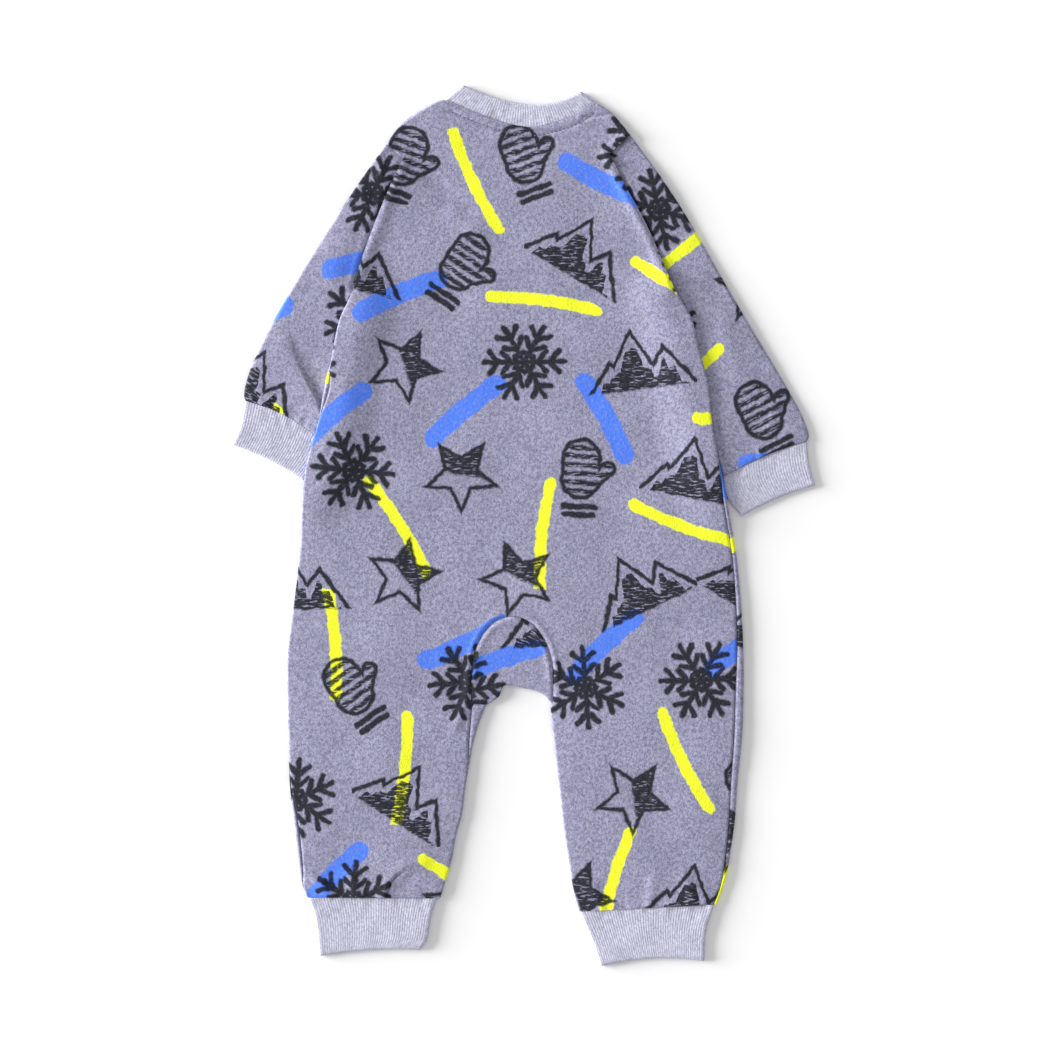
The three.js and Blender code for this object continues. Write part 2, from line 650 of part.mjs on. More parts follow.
// The gusset: its arched upper side, a fold along the crotch, and a plain return underneath.
function makeGusset() {
  const wall = new Wall();
  const columns = 2 * ARCH_STEPS;
  const firstFolded = 3;
  const lastFolded = 10;
  const halfWidth = ARCH.halfWidth - SEAM_GAP / 2;
  const rise = ARCH.rise - SEAM_GAP;
  const foldY = tableColumn(GUSSET_FOLD.map(([x, y]) => ({ y: x, height: y })), 'height');
  const xs = steps(columns).map((t) => ARCH.x - halfWidth * Math.cos(t * Math.PI));
  const startYs = xs.map((x, j) => foldY(x) + (j >= firstFolded && j <= lastFolded ? ROLL : 0));
  const topYs = xs.map((x) => {
    const share = (x - ARCH.x) / halfWidth;
    return ARCH.y + rise * Math.sqrt(Math.max(0, 1 - share * share));
  });
  const upperRows = steps(GUSSET_ROWS.upper).map((v) => (
    xs.map((x, j) => flatCorner(x, lerp(startYs[j], topYs[j], v), 'back'))));
  wall.grid(upperRows);
  const folded = xs.map((x, j) => ({ x, y: foldY(x), j })).slice(firstFolded, lastFolded + 1);
  const rollRows = steps(GUSSET_ROWS.fold).map((t) => {
    const at = wrapFold(lerp(QUARTER_ROLL, -QUARTER_ROLL, t));
    const normal = new THREE.Vector3(0, -at.out, at.up);
    return folded.map(({ x, y }) => bodyCorner(x, y + at.inward, at.height, normal));
  });
  wall.grid(rollRows.reverse());
  const returnY = FRONT_CROTCH_Y - BAND_GAP;
  const returnLeft = CROTCH_SIDES.left + BAND_GAP;
  const returnRight = CROTCH_SIDES.right - BAND_GAP;
  const returnRows = steps(GUSSET_ROWS.under).map((v) => folded.map(({ x, y }, k) => {
    const endX = lerp(returnLeft, returnRight, k / (folded.length - 1));
    return flatCorner(lerp(x, endX, v), lerp(y + ROLL, returnY, v), 'front');
  }));
  wall.grid(returnRows.reverse());
  return wall;
}

const TUBE_ROLL_STEPS = 4;

// A flattened tube over a plan patch: u runs across it and v along it. Ribs stand on its upper side.
function addTube(wall, patch, { rows, height, thickness, columns, underColumns, raise = 0, folds = [] }) {
  const rings = steps(rows).map((v) => {
    const radius = height(v) / 2;
    const width = patch(1, v).distanceTo(patch(0, v));
    const at = (inset, z, facing, angle, lift = 0) => {
      const point = patch(inset / width, v);
      const fold = foldAt(folds, point.x, point.y) * z / height(v);
      const normal = facing.clone().multiplyScalar(Math.cos(angle)).setZ(Math.sin(angle));
      return corner(point.x, point.y, z + fold, normal, thickness, lift);
    };
    const nearFacing = patch(0, v).sub(patch(radius / width, v)).normalize();
    const farFacing = patch(1, v).sub(patch(1 - radius / width, v)).normalize();
    const [up, down] = [Math.PI / 2, -Math.PI / 2];
    const ring = steps(columns).map((t, i) => (
      at(lerp(radius, width - radius, t), height(v), farFacing, up, i % 2 ? raise : 0)));
    const roll = (angle, near) => {
      const inset = radius * (1 - Math.cos(angle));
      const z = radius * (1 + Math.sin(angle));
      return at(near ? inset : width - inset, z, near ? nearFacing : farFacing, angle);
    };
    const angles = steps(TUBE_ROLL_STEPS).slice(1, -1).map((t) => lerp(up, down, t));
    ring.push(...angles.map((angle) => roll(angle, false)));
    ring.push(...steps(underColumns).map((t) => at(lerp(width - radius, radius, t), 0, nearFacing, down)));
    ring.push(...angles.reverse().map((angle) => roll(angle, true)));
    return [...ring, ring[0]];
  });
  return wall.grid(rings);
}

// A sleeve: its end is tucked under the back along the armhole, and stands clear near the shoulder's fold.
function makeSleeve(side) {
  const { outer, inner, bow } = SLEEVES[side];
  const turn = outerEdges[side].inward;
  const seam = armhole(side, 0);
  const end = (u) => {
    const { from, length } = SLEEVE_TUCK_END;
    const tuck = lerp(SLEEVE_TUCK, -SEAM_GAP, smooth((u - from) / length));
    return besideCurve(seam, tuck, turn)(u);
  };
  const outerCurve = smoothCurve(outer);
  const innerCurve = smoothCurve(inner);
  const cuffSeam = bowedLine(innerCurve(1), outerCurve(1), -turn * bow);
  const shift = (u) => cuffSeam(u).lerp(end(u), SLEEVE_END_SHARE);
  const left = (v) => innerCurve(v).add(end(0).sub(innerCurve(0)).multiplyScalar(1 - v));
  const right = (v) => outerCurve(v).add(end(1).sub(outerCurve(0)).multiplyScalar(1 - v));
  const fitted = (curve, u) => (v) => curve(v).add(shift(u).sub(curve(1)).multiplyScalar(v));
  const patch = fillPatch(end, shift, fitted(left, 0), fitted(right, 1));
  return addTube(new Wall(), patch, {
    rows: 8,
    height: (v) => lerp(ARMHOLE_HEIGHT, SLEEVE_HEIGHT, smooth(v * 5)),
    thickness: CLOTH,
    columns: ARMHOLE_STEPS,
    underColumns: ARMHOLE_STEPS,
    folds: SLEEVE_FOLDS,
  });
}

// A rib band between the rows of its table, held clear of the seam by half the band's gap.
function makeBand({ start, end, bows }, height, bowSign) {
  const startCurve = smoothCurve(start);
  const endCurve = smoothCurve(end);
  const width = plan(start[0]).distanceTo(plan(end[0]));
  const gapShare = BAND_GAP / 2 / plan(start[0]).distanceTo(plan(start[2]));
  const patch = (u, v) => {
    const along = lerp(gapShare, 1, v);
    return bowedLine(startCurve(along), endCurve(along), bowSign * lerp(bows[0], bows[1], v))(u);
  };
  return addTube(new Wall(), patch, {
    rows: 2,
    height: () => height,
    thickness: RIB_CLOTH,
    columns: 2 * Math.round(width / RIB_PITCH),
    underColumns: 6,
    raise: RIB_RAISE,
  });
}

// The collar: a ribbed band on the upper side, folded at both ends, whose lower side is open at the
// centre front.
function makeCollar() {
  const wall = new Wall();
  const seam = smoothCurve(BACK_NECK_SEAM);
  const edge = smoothCurve(BACK_NECK_EDGE);
  const underColumns = 9;
  const radius = BAND_HEIGHT / 2;
  const up = Math.PI / 2;
  const upper = (u, v) => seam(u).lerp(edge(u), lerp(COLLAR_START, 1, v));
  const rows = steps(2).map((v) => {
    const width = upper(0, v).distanceTo(upper(1, v));
    const top = steps(2 * COLLAR_RIBS).map((t, i) => {
      const point = upper(lerp(radius, width - radius, t) / width, v);
      return corner(point.x, point.y, BAND_HEIGHT, layerNormal.back, RIB_CLOTH, i % 2 ? RIB_RAISE : 0);
    });
    const halfRow = (side) => {
      const fold = upper(side === 'left' ? 0 : 1, v);
      const beside = upper(side === 'left' ? radius / width : 1 - radius / width, v);
      const facing = fold.clone().sub(beside).normalize();
      const centre = CENTRE_X - outerEdges[side].inward * SEAM_GAP;
      const frontSeam = smoothCurve(FRONT_NECK_SEAM[side]);
      const frontEdge = smoothCurve(FRONT_NECK_EDGE[side]);
      const roll = steps(TUBE_ROLL_STEPS).slice(1, -1).map((t) => {
        const angle = lerp(up, -up, t);
        const point = fold.clone().addScaledVector(facing, -radius * (1 - Math.cos(angle)));
        const normal = facing.clone().multiplyScalar(Math.cos(angle)).setZ(Math.sin(angle));
        return corner(point.x, point.y, radius * (1 + Math.sin(angle)), normal, RIB_CLOTH);
      });
      const under = steps(underColumns).map((t) => {
        const point = frontSeam(t).lerp(frontEdge(t), lerp(COLLAR_START, 1, v));
        point.addScaledVector(facing, -radius * (1 - t));
        const x = t === 1 ? centre : point.x;
        return corner(x, point.y, 0, layerNormal.front, RIB_CLOTH);
      });
      return [...roll, ...under];
    };
    return [...halfRow('left').reverse(), ...top, ...halfRow('right')];
  });
  wall.grid(rows);
  return wall;
}

function cloth(color, roughness) {
  return new THREE.MeshStandardMaterial({ color, roughness, metalness: 0 });
}

const FLEECE_COLOUR = 0x96929e;
const RIB_COLOUR = 0xb9b7c5;

function makeCoverall() {
  const garment = new THREE.Group();
  const addFleece = (name, wall) => garment.add(wall.mesh(name, cloth(FLEECE_COLOUR, 0.95)));
  const addRib = (name, wall) => garment.add(wall.mesh(name, cloth(RIB_COLOUR, 0.9)));
  addFleece('back_panel', makeBack());
  addFleece('crotch_gusset', makeGusset());
  addRib('collar_rib', makeCollar());
  for (const side of ['left', 'right']) {
    addFleece(`front_${side}`, makeFront(side));
    addFleece(`sleeve_${side}`, makeSleeve(side));
    addRib(`cuff_${side}`, makeBand(CUFFS[side], CUFF_HEIGHT, side === 'left' ? -1 : 1));
    addRib(`ankle_${side}`, makeBand(ANKLES[side], BAND_HEIGHT, 1));
  }
  const centre = new THREE.Box3().setFromObject(garment).getCenter(new THREE.Vector3());
  garment.position.set(-centre.x, -centre.y, 0);
  return garment;
}

export default makeCoverall();
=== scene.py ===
import bmesh
import bpy
import numpy as np
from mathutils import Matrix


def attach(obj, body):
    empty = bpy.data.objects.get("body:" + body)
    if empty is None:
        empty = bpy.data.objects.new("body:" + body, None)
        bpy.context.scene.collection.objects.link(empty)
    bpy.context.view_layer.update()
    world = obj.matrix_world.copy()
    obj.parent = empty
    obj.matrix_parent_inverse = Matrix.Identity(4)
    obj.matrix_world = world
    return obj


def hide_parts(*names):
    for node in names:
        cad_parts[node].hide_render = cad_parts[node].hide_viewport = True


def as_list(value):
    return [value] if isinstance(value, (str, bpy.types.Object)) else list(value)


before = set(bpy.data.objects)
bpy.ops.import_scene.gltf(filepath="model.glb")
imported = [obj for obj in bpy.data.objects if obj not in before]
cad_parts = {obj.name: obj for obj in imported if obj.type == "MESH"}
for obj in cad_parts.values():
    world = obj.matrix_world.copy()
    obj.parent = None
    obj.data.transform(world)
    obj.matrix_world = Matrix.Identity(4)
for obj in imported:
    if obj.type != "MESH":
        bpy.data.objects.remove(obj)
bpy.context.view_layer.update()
print("frame loaded")

mm = 0.001
partShift = np.array([0.1, -0.4, 0.0])  # centres the tables below on the part's own box

# camera, straight above with a long lens
camera = {"height": 2.0, "viewWidth": 0.78975, "centre": (0.0019, -0.00075)}


def addObject(name, data):
    obj = bpy.data.objects.new(name, data)
    bpy.context.scene.collection.objects.link(obj)
    return obj


def makeCamera():
    data = bpy.data.cameras.new("camera")
    obj = addObject("camera", data)
    data.sensor_width = 36
    data.lens = data.sensor_width * camera["height"] / camera["viewWidth"]
    data.clip_end = 20
    obj.location = (*camera["centre"], camera["height"])
    bpy.context.scene.camera = obj


makeCamera()

# cloth sizes shared by every cut piece
cloth = {
    "thickness": 1.4,
    "bodyHeight": 3.9,
    "sleeveHeight": 3.6,
    "armholeHeight": 3.2,
    "cuffHeight": 3.4,
    "bandHeight": 4.1,
    "lift": 4.05,  # how far the body is raised where it lies on a sleeve
    "liftHalfWidth": 9.5,
    "liftFade": 34,
    "seamGap": 0.16,
    "grooveDepth": 0.75,
    "grooveWidth": 0.85,
    "flatStart": 1.0,
    "puff": 1.1,
    "puffReach": 16,
}
roll = cloth["bodyHeight"] / 2
quarterRoll = roll * np.pi / 2

# folded side edges; leftSeam and rightSeam say how far the front comes round onto the upper side
sides = {
    "y": [176.6, 156.4, 134.6, 121.9, 101.6, 79.9, 49.1, 34.1, 13.9, -18.4, -55.9, -93.4, -123.4, -157.1,
          -190.9, -220.9, -258.4, -271.1, -284],
    "left": [-127.5, -137.6, -142.9, -145.1, -149.7, -153.8, -162.4, -165, -166.7, -168.3, -172.5, -177.4,
             -177.8, -177, -175.9, -172.5, -168, -165.8, -160],
    "leftSeam": [0, 0, 0, 0.3, 3.5, 0.4, 0, 0, 0, 0, 0, 0, 0, 0, 0.3, 3, 2.5, 0.3, 0],
    "right": [112.5, 125.3, 130.5, 134.3, 138.8, 140.6, 145.9, 148.9, 152.6, 158.6, 162.4, 164.3, 164.6,
              163.5, 160.1, 157.9, 152.3, 148.9, 144],
    "rightSeam": [0, 0, 0, 0, 0, 0, 0, 1.5, 3, 3.5, 4, 5, 6.4, 6.5, 5.3, 4.5, 3, 2.4, 2.2],
}
innerLegs = {
    "y": [-132, -148.1, -162.4, -175.9, -194.6, -215.6, -231.4, -253.9, -271.1, -289],
    "left": [-27.4, -33.8, -37.9, -40.5, -43.5, -46.1, -50.3, -54.8, -60, -65.6],
    "leftSeam": [11.6, 6.5, 3.5, 1, 0, 0, 0, 0, 0, 0],
    "right": [19.2, 20.2, 21.9, 23.5, 25.6, 27.9, 29.9, 33.4, 36.3, 40.7],
    "rightSeam": [0] * 10,
}
underarmY = sides["y"][0]
hems = {"left": (-278.05, -278.25), "right": (-283.3, -288.5)}  # y at the outer and the inner edge
armholes = {
    "left": ([[-127.5, underarmY], [-121.5, 199.1], [-112.5, 224.6], [-97.5, 260.6], [-90, 275.6]],
             [-103.5, 286]),
    "right": ([[112.5, underarmY], [92.3, 223.9], [75.8, 254.6], [63.8, 278.6]], [79.7, 292.9]),
}
shoulders = {
    "left": ([[-103.5, 286], [-92.3, 300.9], [-84.7, 306.5], [-72.5, 314.3], [-65.3, 318]], [-60, 319.2]),
    "right": ([[79.7, 292.9], [73.6, 300.6], [66, 309.2], [57.6, 315]], [54.2, 317.2]),
}
neckLeft, neckRight = [-58.8, 319.4], [52.2, 318.4]
peakLeft, peakRight = [-46.3, 330.4], [43.1, 325.4]
centreX = -2.5
backNeck = {
    "seam": [neckLeft, [-40, 311], [-16.5, 302.6], [4, 298.8], [24, 302.6], [40.4, 308.9], neckRight],
    "edge": [peakLeft, [-33, 325.1], [-18.8, 320.1], [-3.8, 316.9], [12, 315.6], [30.4, 319.9], peakRight],
}
frontNeck = {
    "left": ([neckLeft, [-50, 290], [-28, 268], [centreX, 262]],
             [peakLeft, [-38, 303], [-20, 284], [centreX, 279]]),
    "right": ([neckRight, [44, 290], [24, 268], [centreX, 262]],
              [peakRight, [33, 302], [16, 284], [centreX, 279]]),
}
arch = {"x": -9, "y": -112.5, "halfWidth": 30.6, "rise": 45}
crotch = {"frontY": -116, "splitY": -130, "legTopY": -132, "left": -39.8, "right": 21.8,
          "tuck": 0.32, "tuckLength": 5}  # the front's edge dips under the gusset's fold
# where the gusset folds under: the fold's y for each x, which tableColumn reads under the name y
gussetFold = {
    "y": [-39.6, -30, -26, -22.6, -18.6, -16.6, -14.6, -3, 10, 16.5, 19, 21.6],
    "fold": [-132.8, -134.2, -133, -130.6, -127.6, -122.5, -119.3, -121, -124, -128, -131, -133.6],
}
gusset = {
    "columns": 72, "rows": 34, "roll": 9, "return": 8,
    "foldFrom": 9, "foldTo": 62,  # columns between which it is folded
    "crowd": 1.5,  # draws its rows towards the arch
    "sideGap": 0.12, "topGap": 0.2, "endGap": 0.3,
}
sleeves = {
    "left": {
        "outer": [[-103.5, 286], [-118.5, 264.8], [-142.6, 228.6], [-174.8, 176.3], [-194.8, 140.2],
                  [-206.9, 112.1], [-209.9, 97.9], [-208.8, 93.6]],
        "inner": [[-127.5, underarmY], [-135, 140], [-142, 100], [-148.5, 60.4]],
        "bow": 5,
    },
    "right": {
        "outer": [[79.7, 292.9], [99.7, 265.5], [117.8, 238.3], [136, 207.4], [157.9, 169.1],
                  [174.2, 141.9], [190.5, 114.7], [207.8, 83.6], [213.5, 66.8], [211.9, 63.4]],
        "inner": [[112.5, underarmY], [118, 160], [129, 110], [140, 68], [148.8, 36.9]],
        "bow": 2.4,
    },
}
# lines along which the body lies on a sleeve
overlaps = [
    [[-131, 172], [-139, 140], [-147, 100], [-153, 60], [-162, 36]],
    [[117, 172], [121, 158], [127, 134], [133, 110], [141, 68], [149, 30]],
]

# creases of the upper side: from, to, height (valleys are negative), width on the left, width on the right
bodyFolds = [
    ([-126, 184], [-92, 272], 1.3, 6, 6),
    ([-92, 272], [-103, 285], 1.2, 6, 6),
    ([109, 184], [65.6, 275], 1.3, 6, 6),
    ([65.6, 275], [79, 292], 1.2, 6, 6),
    ([-69.4, 257.6], [-43.5, 233.6], -0.8, 9, 7),
    ([-52, 233.6], [-35.6, 216.4], 1, 9, 6),
    ([-76, -252.4], [-88, -256.9], 0.6, 5, 7),
    ([-84, -262], [-94, -273], -0.5, 5, 5),
    ([-159.8, -259.6], [-151.1, -267], 0.7, 3, 6),
    ([-151.1, -267], [-144, -277.4], 0.8, 3, 6),
    ([-129, -262], [-122, -277], 0.7, 2.4, 6),
    ([-46.8, -106], [-49, -138.1], -0.8, 6, 6),
    ([-40.5, -113], [-46.8, -138], 0.7, 4, 4),
    ([-46.8, -138], [-51, -149], 1, 4, 4),
    ([52, -268], [58, -287], 0.7, 3, 7),
    ([96, -264], [93, -286], 0.6, 6, 3),
    ([122, -262], [127, -284], 0.8, 3, 6),
]
sleeveFolds = [
    ([-109.2, 278.6], [-107.3, 263.3], 0.9, 4, 4),
    ([-118.5, 263.3], [-108.8, 232.9], -0.5, 5, 5),
    ([-161, 124], [-147, 90], -0.7, 6, 8),
    ([-97, 262], [-125, 190], -1.2, 12, 12),
    ([-125, 190], [-134, 150], -0.6, 12, 12),
    ([-182, 134], [-170, 100], 0.5, 8, 8),
    ([190, 92], [181, 70], 0.7, 5, 3),
    ([150, 150], [158, 118], 0.7, 8, 8),
]

# crisp creases, strongest at their first point: the cloth left of the line stands a step above the right
bodyCreases = [
    {"points": [[-103, -277.5], [-101.4, -270.4], [-98, -264.6], [-87.5, -256.6]],
     "step": 1.3, "groove": 2.9, "spread": 6},
    {"points": [[-62.5, -276.4], [-68.5, -277.9]], "step": 0, "groove": 2.4, "spread": 1},
]
sleeveCreases = [
    {"points": [[-150.5, 84], [-154.4, 95.1], [-159.8, 106.1], [-167.3, 121], [-172, 133]],
     "step": 2.3, "groove": 2.2, "spread": 12},
    {"points": [[158.5, 43.4], [153, 45.4], [147.5, 48.2]], "step": 0.8, "groove": 1.9, "spread": 3},
]
crisp = {"halfWidth": 0.85, "fade": 0.75, "steps": 15}  # groove of a crisp crease, which fades along it


# a where t is 0, b where it is 1
def mixed(a, b, t):
    return a + (b - a) * t


def smooth(t):
    t = np.clip(t, 0, 1)
    return t * t * (3 - 2 * t)


def unit(v):
    return v / np.linalg.norm(v, axis=-1, keepdims=True)


# cubic through a table's column, each slope taken from the two rows around it
def tableColumn(table, name):
    order = np.argsort(table["y"])
    ys = np.array(table["y"], float)[order]
    values = np.array(table[name], float)[order]
    before = np.maximum(np.arange(len(ys)) - 1, 0)
    after = np.minimum(np.arange(len(ys)) + 1, len(ys) - 1)
    slopes = (values[after] - values[before]) / (ys[after] - ys[before])

    def read(y):
        y = np.asarray(y, float)
        i = np.clip(np.searchsorted(ys, y) - 1, 0, len(ys) - 2)
        span = ys[i + 1] - ys[i]
        t = (y - ys[i]) / span
        curve = t * (1 - t) * span * (slopes[i] * (1 - t) - slopes[i + 1] * t)
        return mixed(values[i], values[i + 1], t * t * (3 - 2 * t)) + curve

    return read


# centripetal Catmull-Rom through the points, read by its share of the length
def smoothCurve(points, perSpan=40):
    p = np.array(points, float)
    p = np.vstack([2 * p[0] - p[1], p, 2 * p[-1] - p[-2]])
    gaps = np.sqrt(np.linalg.norm(np.diff(p, axis=0), axis=1))[:, None]
    t = np.linspace(0, 1, perSpan, endpoint=False)[:, None]
    pieces = []
    for i in range(1, len(p) - 2):
        g0, g1, g2 = gaps[i - 1], gaps[i], gaps[i + 1]
        first = ((p[i] - p[i - 1]) / g0 - (p[i + 1] - p[i - 1]) / (g0 + g1) + (p[i + 1] - p[i]) / g1) * g1
        second = ((p[i + 1] - p[i]) / g1 - (p[i + 2] - p[i]) / (g1 + g2) + (p[i + 2] - p[i + 1]) / g2) * g1
        pieces.append(mixed(p[i], p[i + 1], smooth(t)) + t * (1 - t) * (first * (1 - t) - second * t))
    dense = np.vstack([*pieces, p[-2]])
    length = np.concatenate([[0], np.cumsum(np.linalg.norm(np.diff(dense, axis=0), axis=1))])
    share = length / length[-1]
    return lambda t: np.stack([np.interp(t, share, dense[:, 0]), np.interp(t, share, dense[:, 1])], -1)


# a curve moved sideways, to the right of its direction where turn is 1
def besideCurve(curve, distance, turn, reach=0.02):
    def read(t):
        ahead = unit(curve(np.minimum(t + reach, 1)) - curve(np.maximum(np.asarray(t) - reach, 0)))
        side = np.stack([ahead[..., 1], -ahead[..., 0]], -1) * turn
        return curve(t) + side * np.asarray(distance(t) if callable(distance) else distance)[..., None]

    return read


# the straight line from a to b
def straight(a, b):
    a, b = np.array(a, float), np.array(b, float)
    return lambda t: mixed(a, b, np.asarray(t)[..., None])


# a patch between four edges: the surface ruled from bottom to top, bent by what the two sides add to it
def fillPatch(bottom, top, left, right, power=1):
    c00, c10, c01, c11 = bottom(0.0), bottom(1.0), top(0.0), top(1.0)

    def read(u, v):
        u, v = np.broadcast_arrays(np.asarray(u, float), np.asarray(v, float))
        uu, vv = u[..., None], v[..., None]
        leftBend = (left(v) - mixed(c00, c01, vv)) * (1 - uu) ** power
        rightBend = (right(v) - mixed(c10, c11, vv)) * uu ** power
        return mixed(bottom(u), top(u), vv) + leftBend + rightBend

    return read


def distanceToLine(x, y, line):
    nearest = np.full(np.shape(x), 1e9)
    for a, b in zip(line[:-1], line[1:]):
        dx, dy = b[0] - a[0], b[1] - a[1]
        t = np.clip(((x - a[0]) * dx + (y - a[1]) * dy) / (dx * dx + dy * dy), 0, 1)
        nearest = np.minimum(nearest, np.hypot(x - a[0] - t * dx, y - a[1] - t * dy))
    return nearest


# how far the body is raised over the sleeves
def liftAt(x, y):
    nearest = np.minimum(distanceToLine(x, y, overlaps[0]), distanceToLine(x, y, overlaps[1]))
    return cloth["lift"] * (1 - smooth((nearest - cloth["liftHalfWidth"]) / cloth["liftFade"]))


# each crease is a bell of its own width on either side of its line
def foldsAt(folds, x, y):
    total = np.zeros(np.shape(x))
    for a, b, height, leftWidth, rightWidth in folds:
        onLeft = (b[0] - a[0]) * (y - a[1]) - (b[1] - a[1]) * (x - a[0]) > 0
        width = np.where(onLeft, leftWidth, rightWidth)
        total += height * np.exp(-(distanceToLine(x, y, [a, b]) / width) ** 2)
    return total


# nearest distance to a line, how far along it that is, and whether the point is to the left of it
def nearestOnLine(x, y, line):
    nearest = np.full(np.shape(x), 1e9)
    along, onLeft = np.zeros(np.shape(x)), np.zeros(np.shape(x), bool)
    for k, (a, b) in enumerate(zip(line[:-1], line[1:])):
        dx, dy = b[0] - a[0], b[1] - a[1]
        t = np.clip(((x - a[0]) * dx + (y - a[1]) * dy) / (dx * dx + dy * dy), 0, 1)
        away = np.hypot(x - a[0] - t * dx, y - a[1] - t * dy)
        closer = away < nearest
        nearest = np.where(closer, away, nearest)
        along = np.where(closer, (k + t) / (len(line) - 1), along)
        onLeft = np.where(closer, dx * (y - a[1]) - dy * (x - a[0]) > 0, onLeft)
    return nearest, along, onLeft


# a crisp crease: step * exp(-(d / spread)^2) on its left, a steep fall on its right, less a narrow groove
def creasesAt(creases, x, y):
    total = np.zeros(np.shape(x))
    for crease in creases:
        line = smoothCurve(crease["points"])(np.linspace(0, 1, crisp["steps"]))
        away, along, onLeft = nearestOnLine(x, y, line)
        reach = np.where(onLeft, crease["spread"], crisp["halfWidth"])
        fade = 1 - crisp["fade"] * smooth(along) ** 2
        bell = crease["step"] * np.exp(-(away / reach) ** 2)
        total += fade * (bell - crease["groove"] * np.exp(-(away / crisp["halfWidth"]) ** 2))
    return total


# slow undulation of cloth that has been smoothed by hand: a sum of sine waves in all directions
def ripplesAt(x, y, seed, shortest, longest, amplitude, count=18):
    rng = np.random.default_rng(seed)
    total = np.zeros(np.shape(x))
    for _ in range(count):
        wave = longest * (shortest / longest) ** rng.random()
        angle, phase = rng.random(2) * 2 * np.pi
        share = (wave / longest) ** 0.8
        total += share * np.sin((x * np.cos(angle) + y * np.sin(angle)) * 2 * np.pi / wave + phase)
    return total * amplitude / np.sqrt(count)


# the edge and the seam beside it as curves over y, and which way the cloth lies from the edge
def edgeCurves(table, side, inward):
    return {"x": tableColumn(table, side), "seam": tableColumn(table, f"{side}Seam"), "inward": inward}


outer = {side: edgeCurves(sides, side, inward) for side, inward in (("left", 1), ("right", -1))}
inner = {side: edgeCurves(innerLegs, side, inward) for side, inward in (("left", -1), ("right", 1))}


def shoulderDirection(side):
    seam, shoulder = armholes[side]
    ahead = np.array(shoulder, float) - np.array(seam[-1], float)
    return ahead / np.linalg.norm(ahead)


armholeCorner = 0.8  # share of the armhole that lies below the shoulder's corner


# the armhole seam up to its corner, then straight to the shoulder's edge
def armhole(side, stopShort):
    seam, shoulder = armholes[side]
    curve = smoothCurve(seam)
    bend = np.array(seam[-1], float)
    end = np.array(shoulder, float) - shoulderDirection(side) * stopShort

    def read(t):
        t = np.asarray(t, float)
        line = mixed(bend, end, np.clip((t - armholeCorner) / (1 - armholeCorner), 0, 1)[..., None])
        return np.where((t <= armholeCorner)[..., None], curve(np.clip(t / armholeCorner, 0, 1)), line)

    return read


# the arch's edge: half an ellipse over straight sides
def archX(y, side):
    rise = np.clip((y - arch["y"]) / arch["rise"], 0, 1)
    return arch["x"] + (-1 if side == "left" else 1) * arch["halfWidth"] * np.sqrt(1 - rise ** 2)


def cuffSeam(side):
    sleeve = sleeves[side]
    return bowedLine(sleeve["inner"][-1], sleeve["outer"][-1], -outer[side]["inward"] * sleeve["bow"])


# a line from a to b with a parabola's bow
def bowedLine(a, b, bow):
    a, b = np.array(a, float), np.array(b, float)
    ahead = (b - a) / np.linalg.norm(b - a)
    across = np.array([-ahead[1], ahead[0]])

    def read(u):
        u = np.asarray(u, float)[..., None]
        return mixed(a, b, u) + across * bow * 4 * u * (1 - u)

    return read


steps60 = np.linspace(0, 1, 61)
archAngles = np.linspace(0, np.pi, 61)
hemLines = {
    "left": [[-161, -278.1], [-65, -278.3]],
    "right": [[41, -288.5], [143.5, -283.3]],
}
archLine = np.stack([
    arch["x"] - arch["halfWidth"] * np.cos(archAngles),
    arch["y"] + arch["rise"] * np.sin(archAngles),
], -1)
topstitch = {"below": 6.8, "stitch": 2.5, "pitch": 3.1, "thread": 0.38, "sink": 0.45,
             "from": 0.06, "to": 0.95, "above": 0.12, "bend": 0.3, "rings": 7, "sides": 8}
stitchShares = np.linspace(topstitch["from"], topstitch["to"], 61)
stitchLine = besideCurve(smoothCurve(backNeck["seam"]), topstitch["below"], 1)(stitchShares)

# seams that show on the upper side: line, depth of the dip, its half width, height of the welts beside it
seams = [
    (armhole("left", 0)(steps60), 0.4, 1.7, 0.2),
    (armhole("right", 0)(steps60), 0.7, 1.7, 0.3),
    (smoothCurve(backNeck["seam"])(steps60), 0.2, 0.9, 0.05),
    (stitchLine, topstitch["sink"], 0.9, 0.08),
    (archLine, 0.75, 1.1, 0.45),
    ([[-39.6, -112.5], [-39.6, -130.5]], 0.5, 1.0, 0.2),
    ([[21.6, -112.5], [21.6, -130.5]], 0.5, 1.0, 0.2),
    (hemLines["left"], 0.1, 0.8, 0.2),
    (hemLines["right"], 0.1, 0.8, 0.2),
    (cuffSeam("left")(steps60), 0.15, 0.9, 0.2),
    (cuffSeam("right")(steps60), 0.15, 0.9, 0.2),
    ([[44.3, 305.6], [66, 308.6], [69, 307]], 0.6, 1.1, 0.3),
]
gatherLines = [hemLines["left"], hemLines["right"], cuffSeam("left")(steps60), cuffSeam("right")(steps60)]
sideY, legY = np.linspace(176, -283, 70), np.linspace(-132, -286, 30)
outlines = [np.stack([outer[s]["x"](sideY), sideY], -1) for s in ("left", "right")]
outlines += [np.stack([inner[s]["x"](legY), legY], -1) for s in ("left", "right")]

weltWidth = 1.8
gather = {"shortest": 5, "longest": 14, "height": 0.45, "waves": 9, "reach": 7, "clear": 1.5}
drape = {"shortest": 28, "longest": 130, "height": 0.55}  # slow undulation of the laid cloth
nap = {"shortest": 9, "longest": 24, "height": 0.09}  # faint unevenness of the brushed face


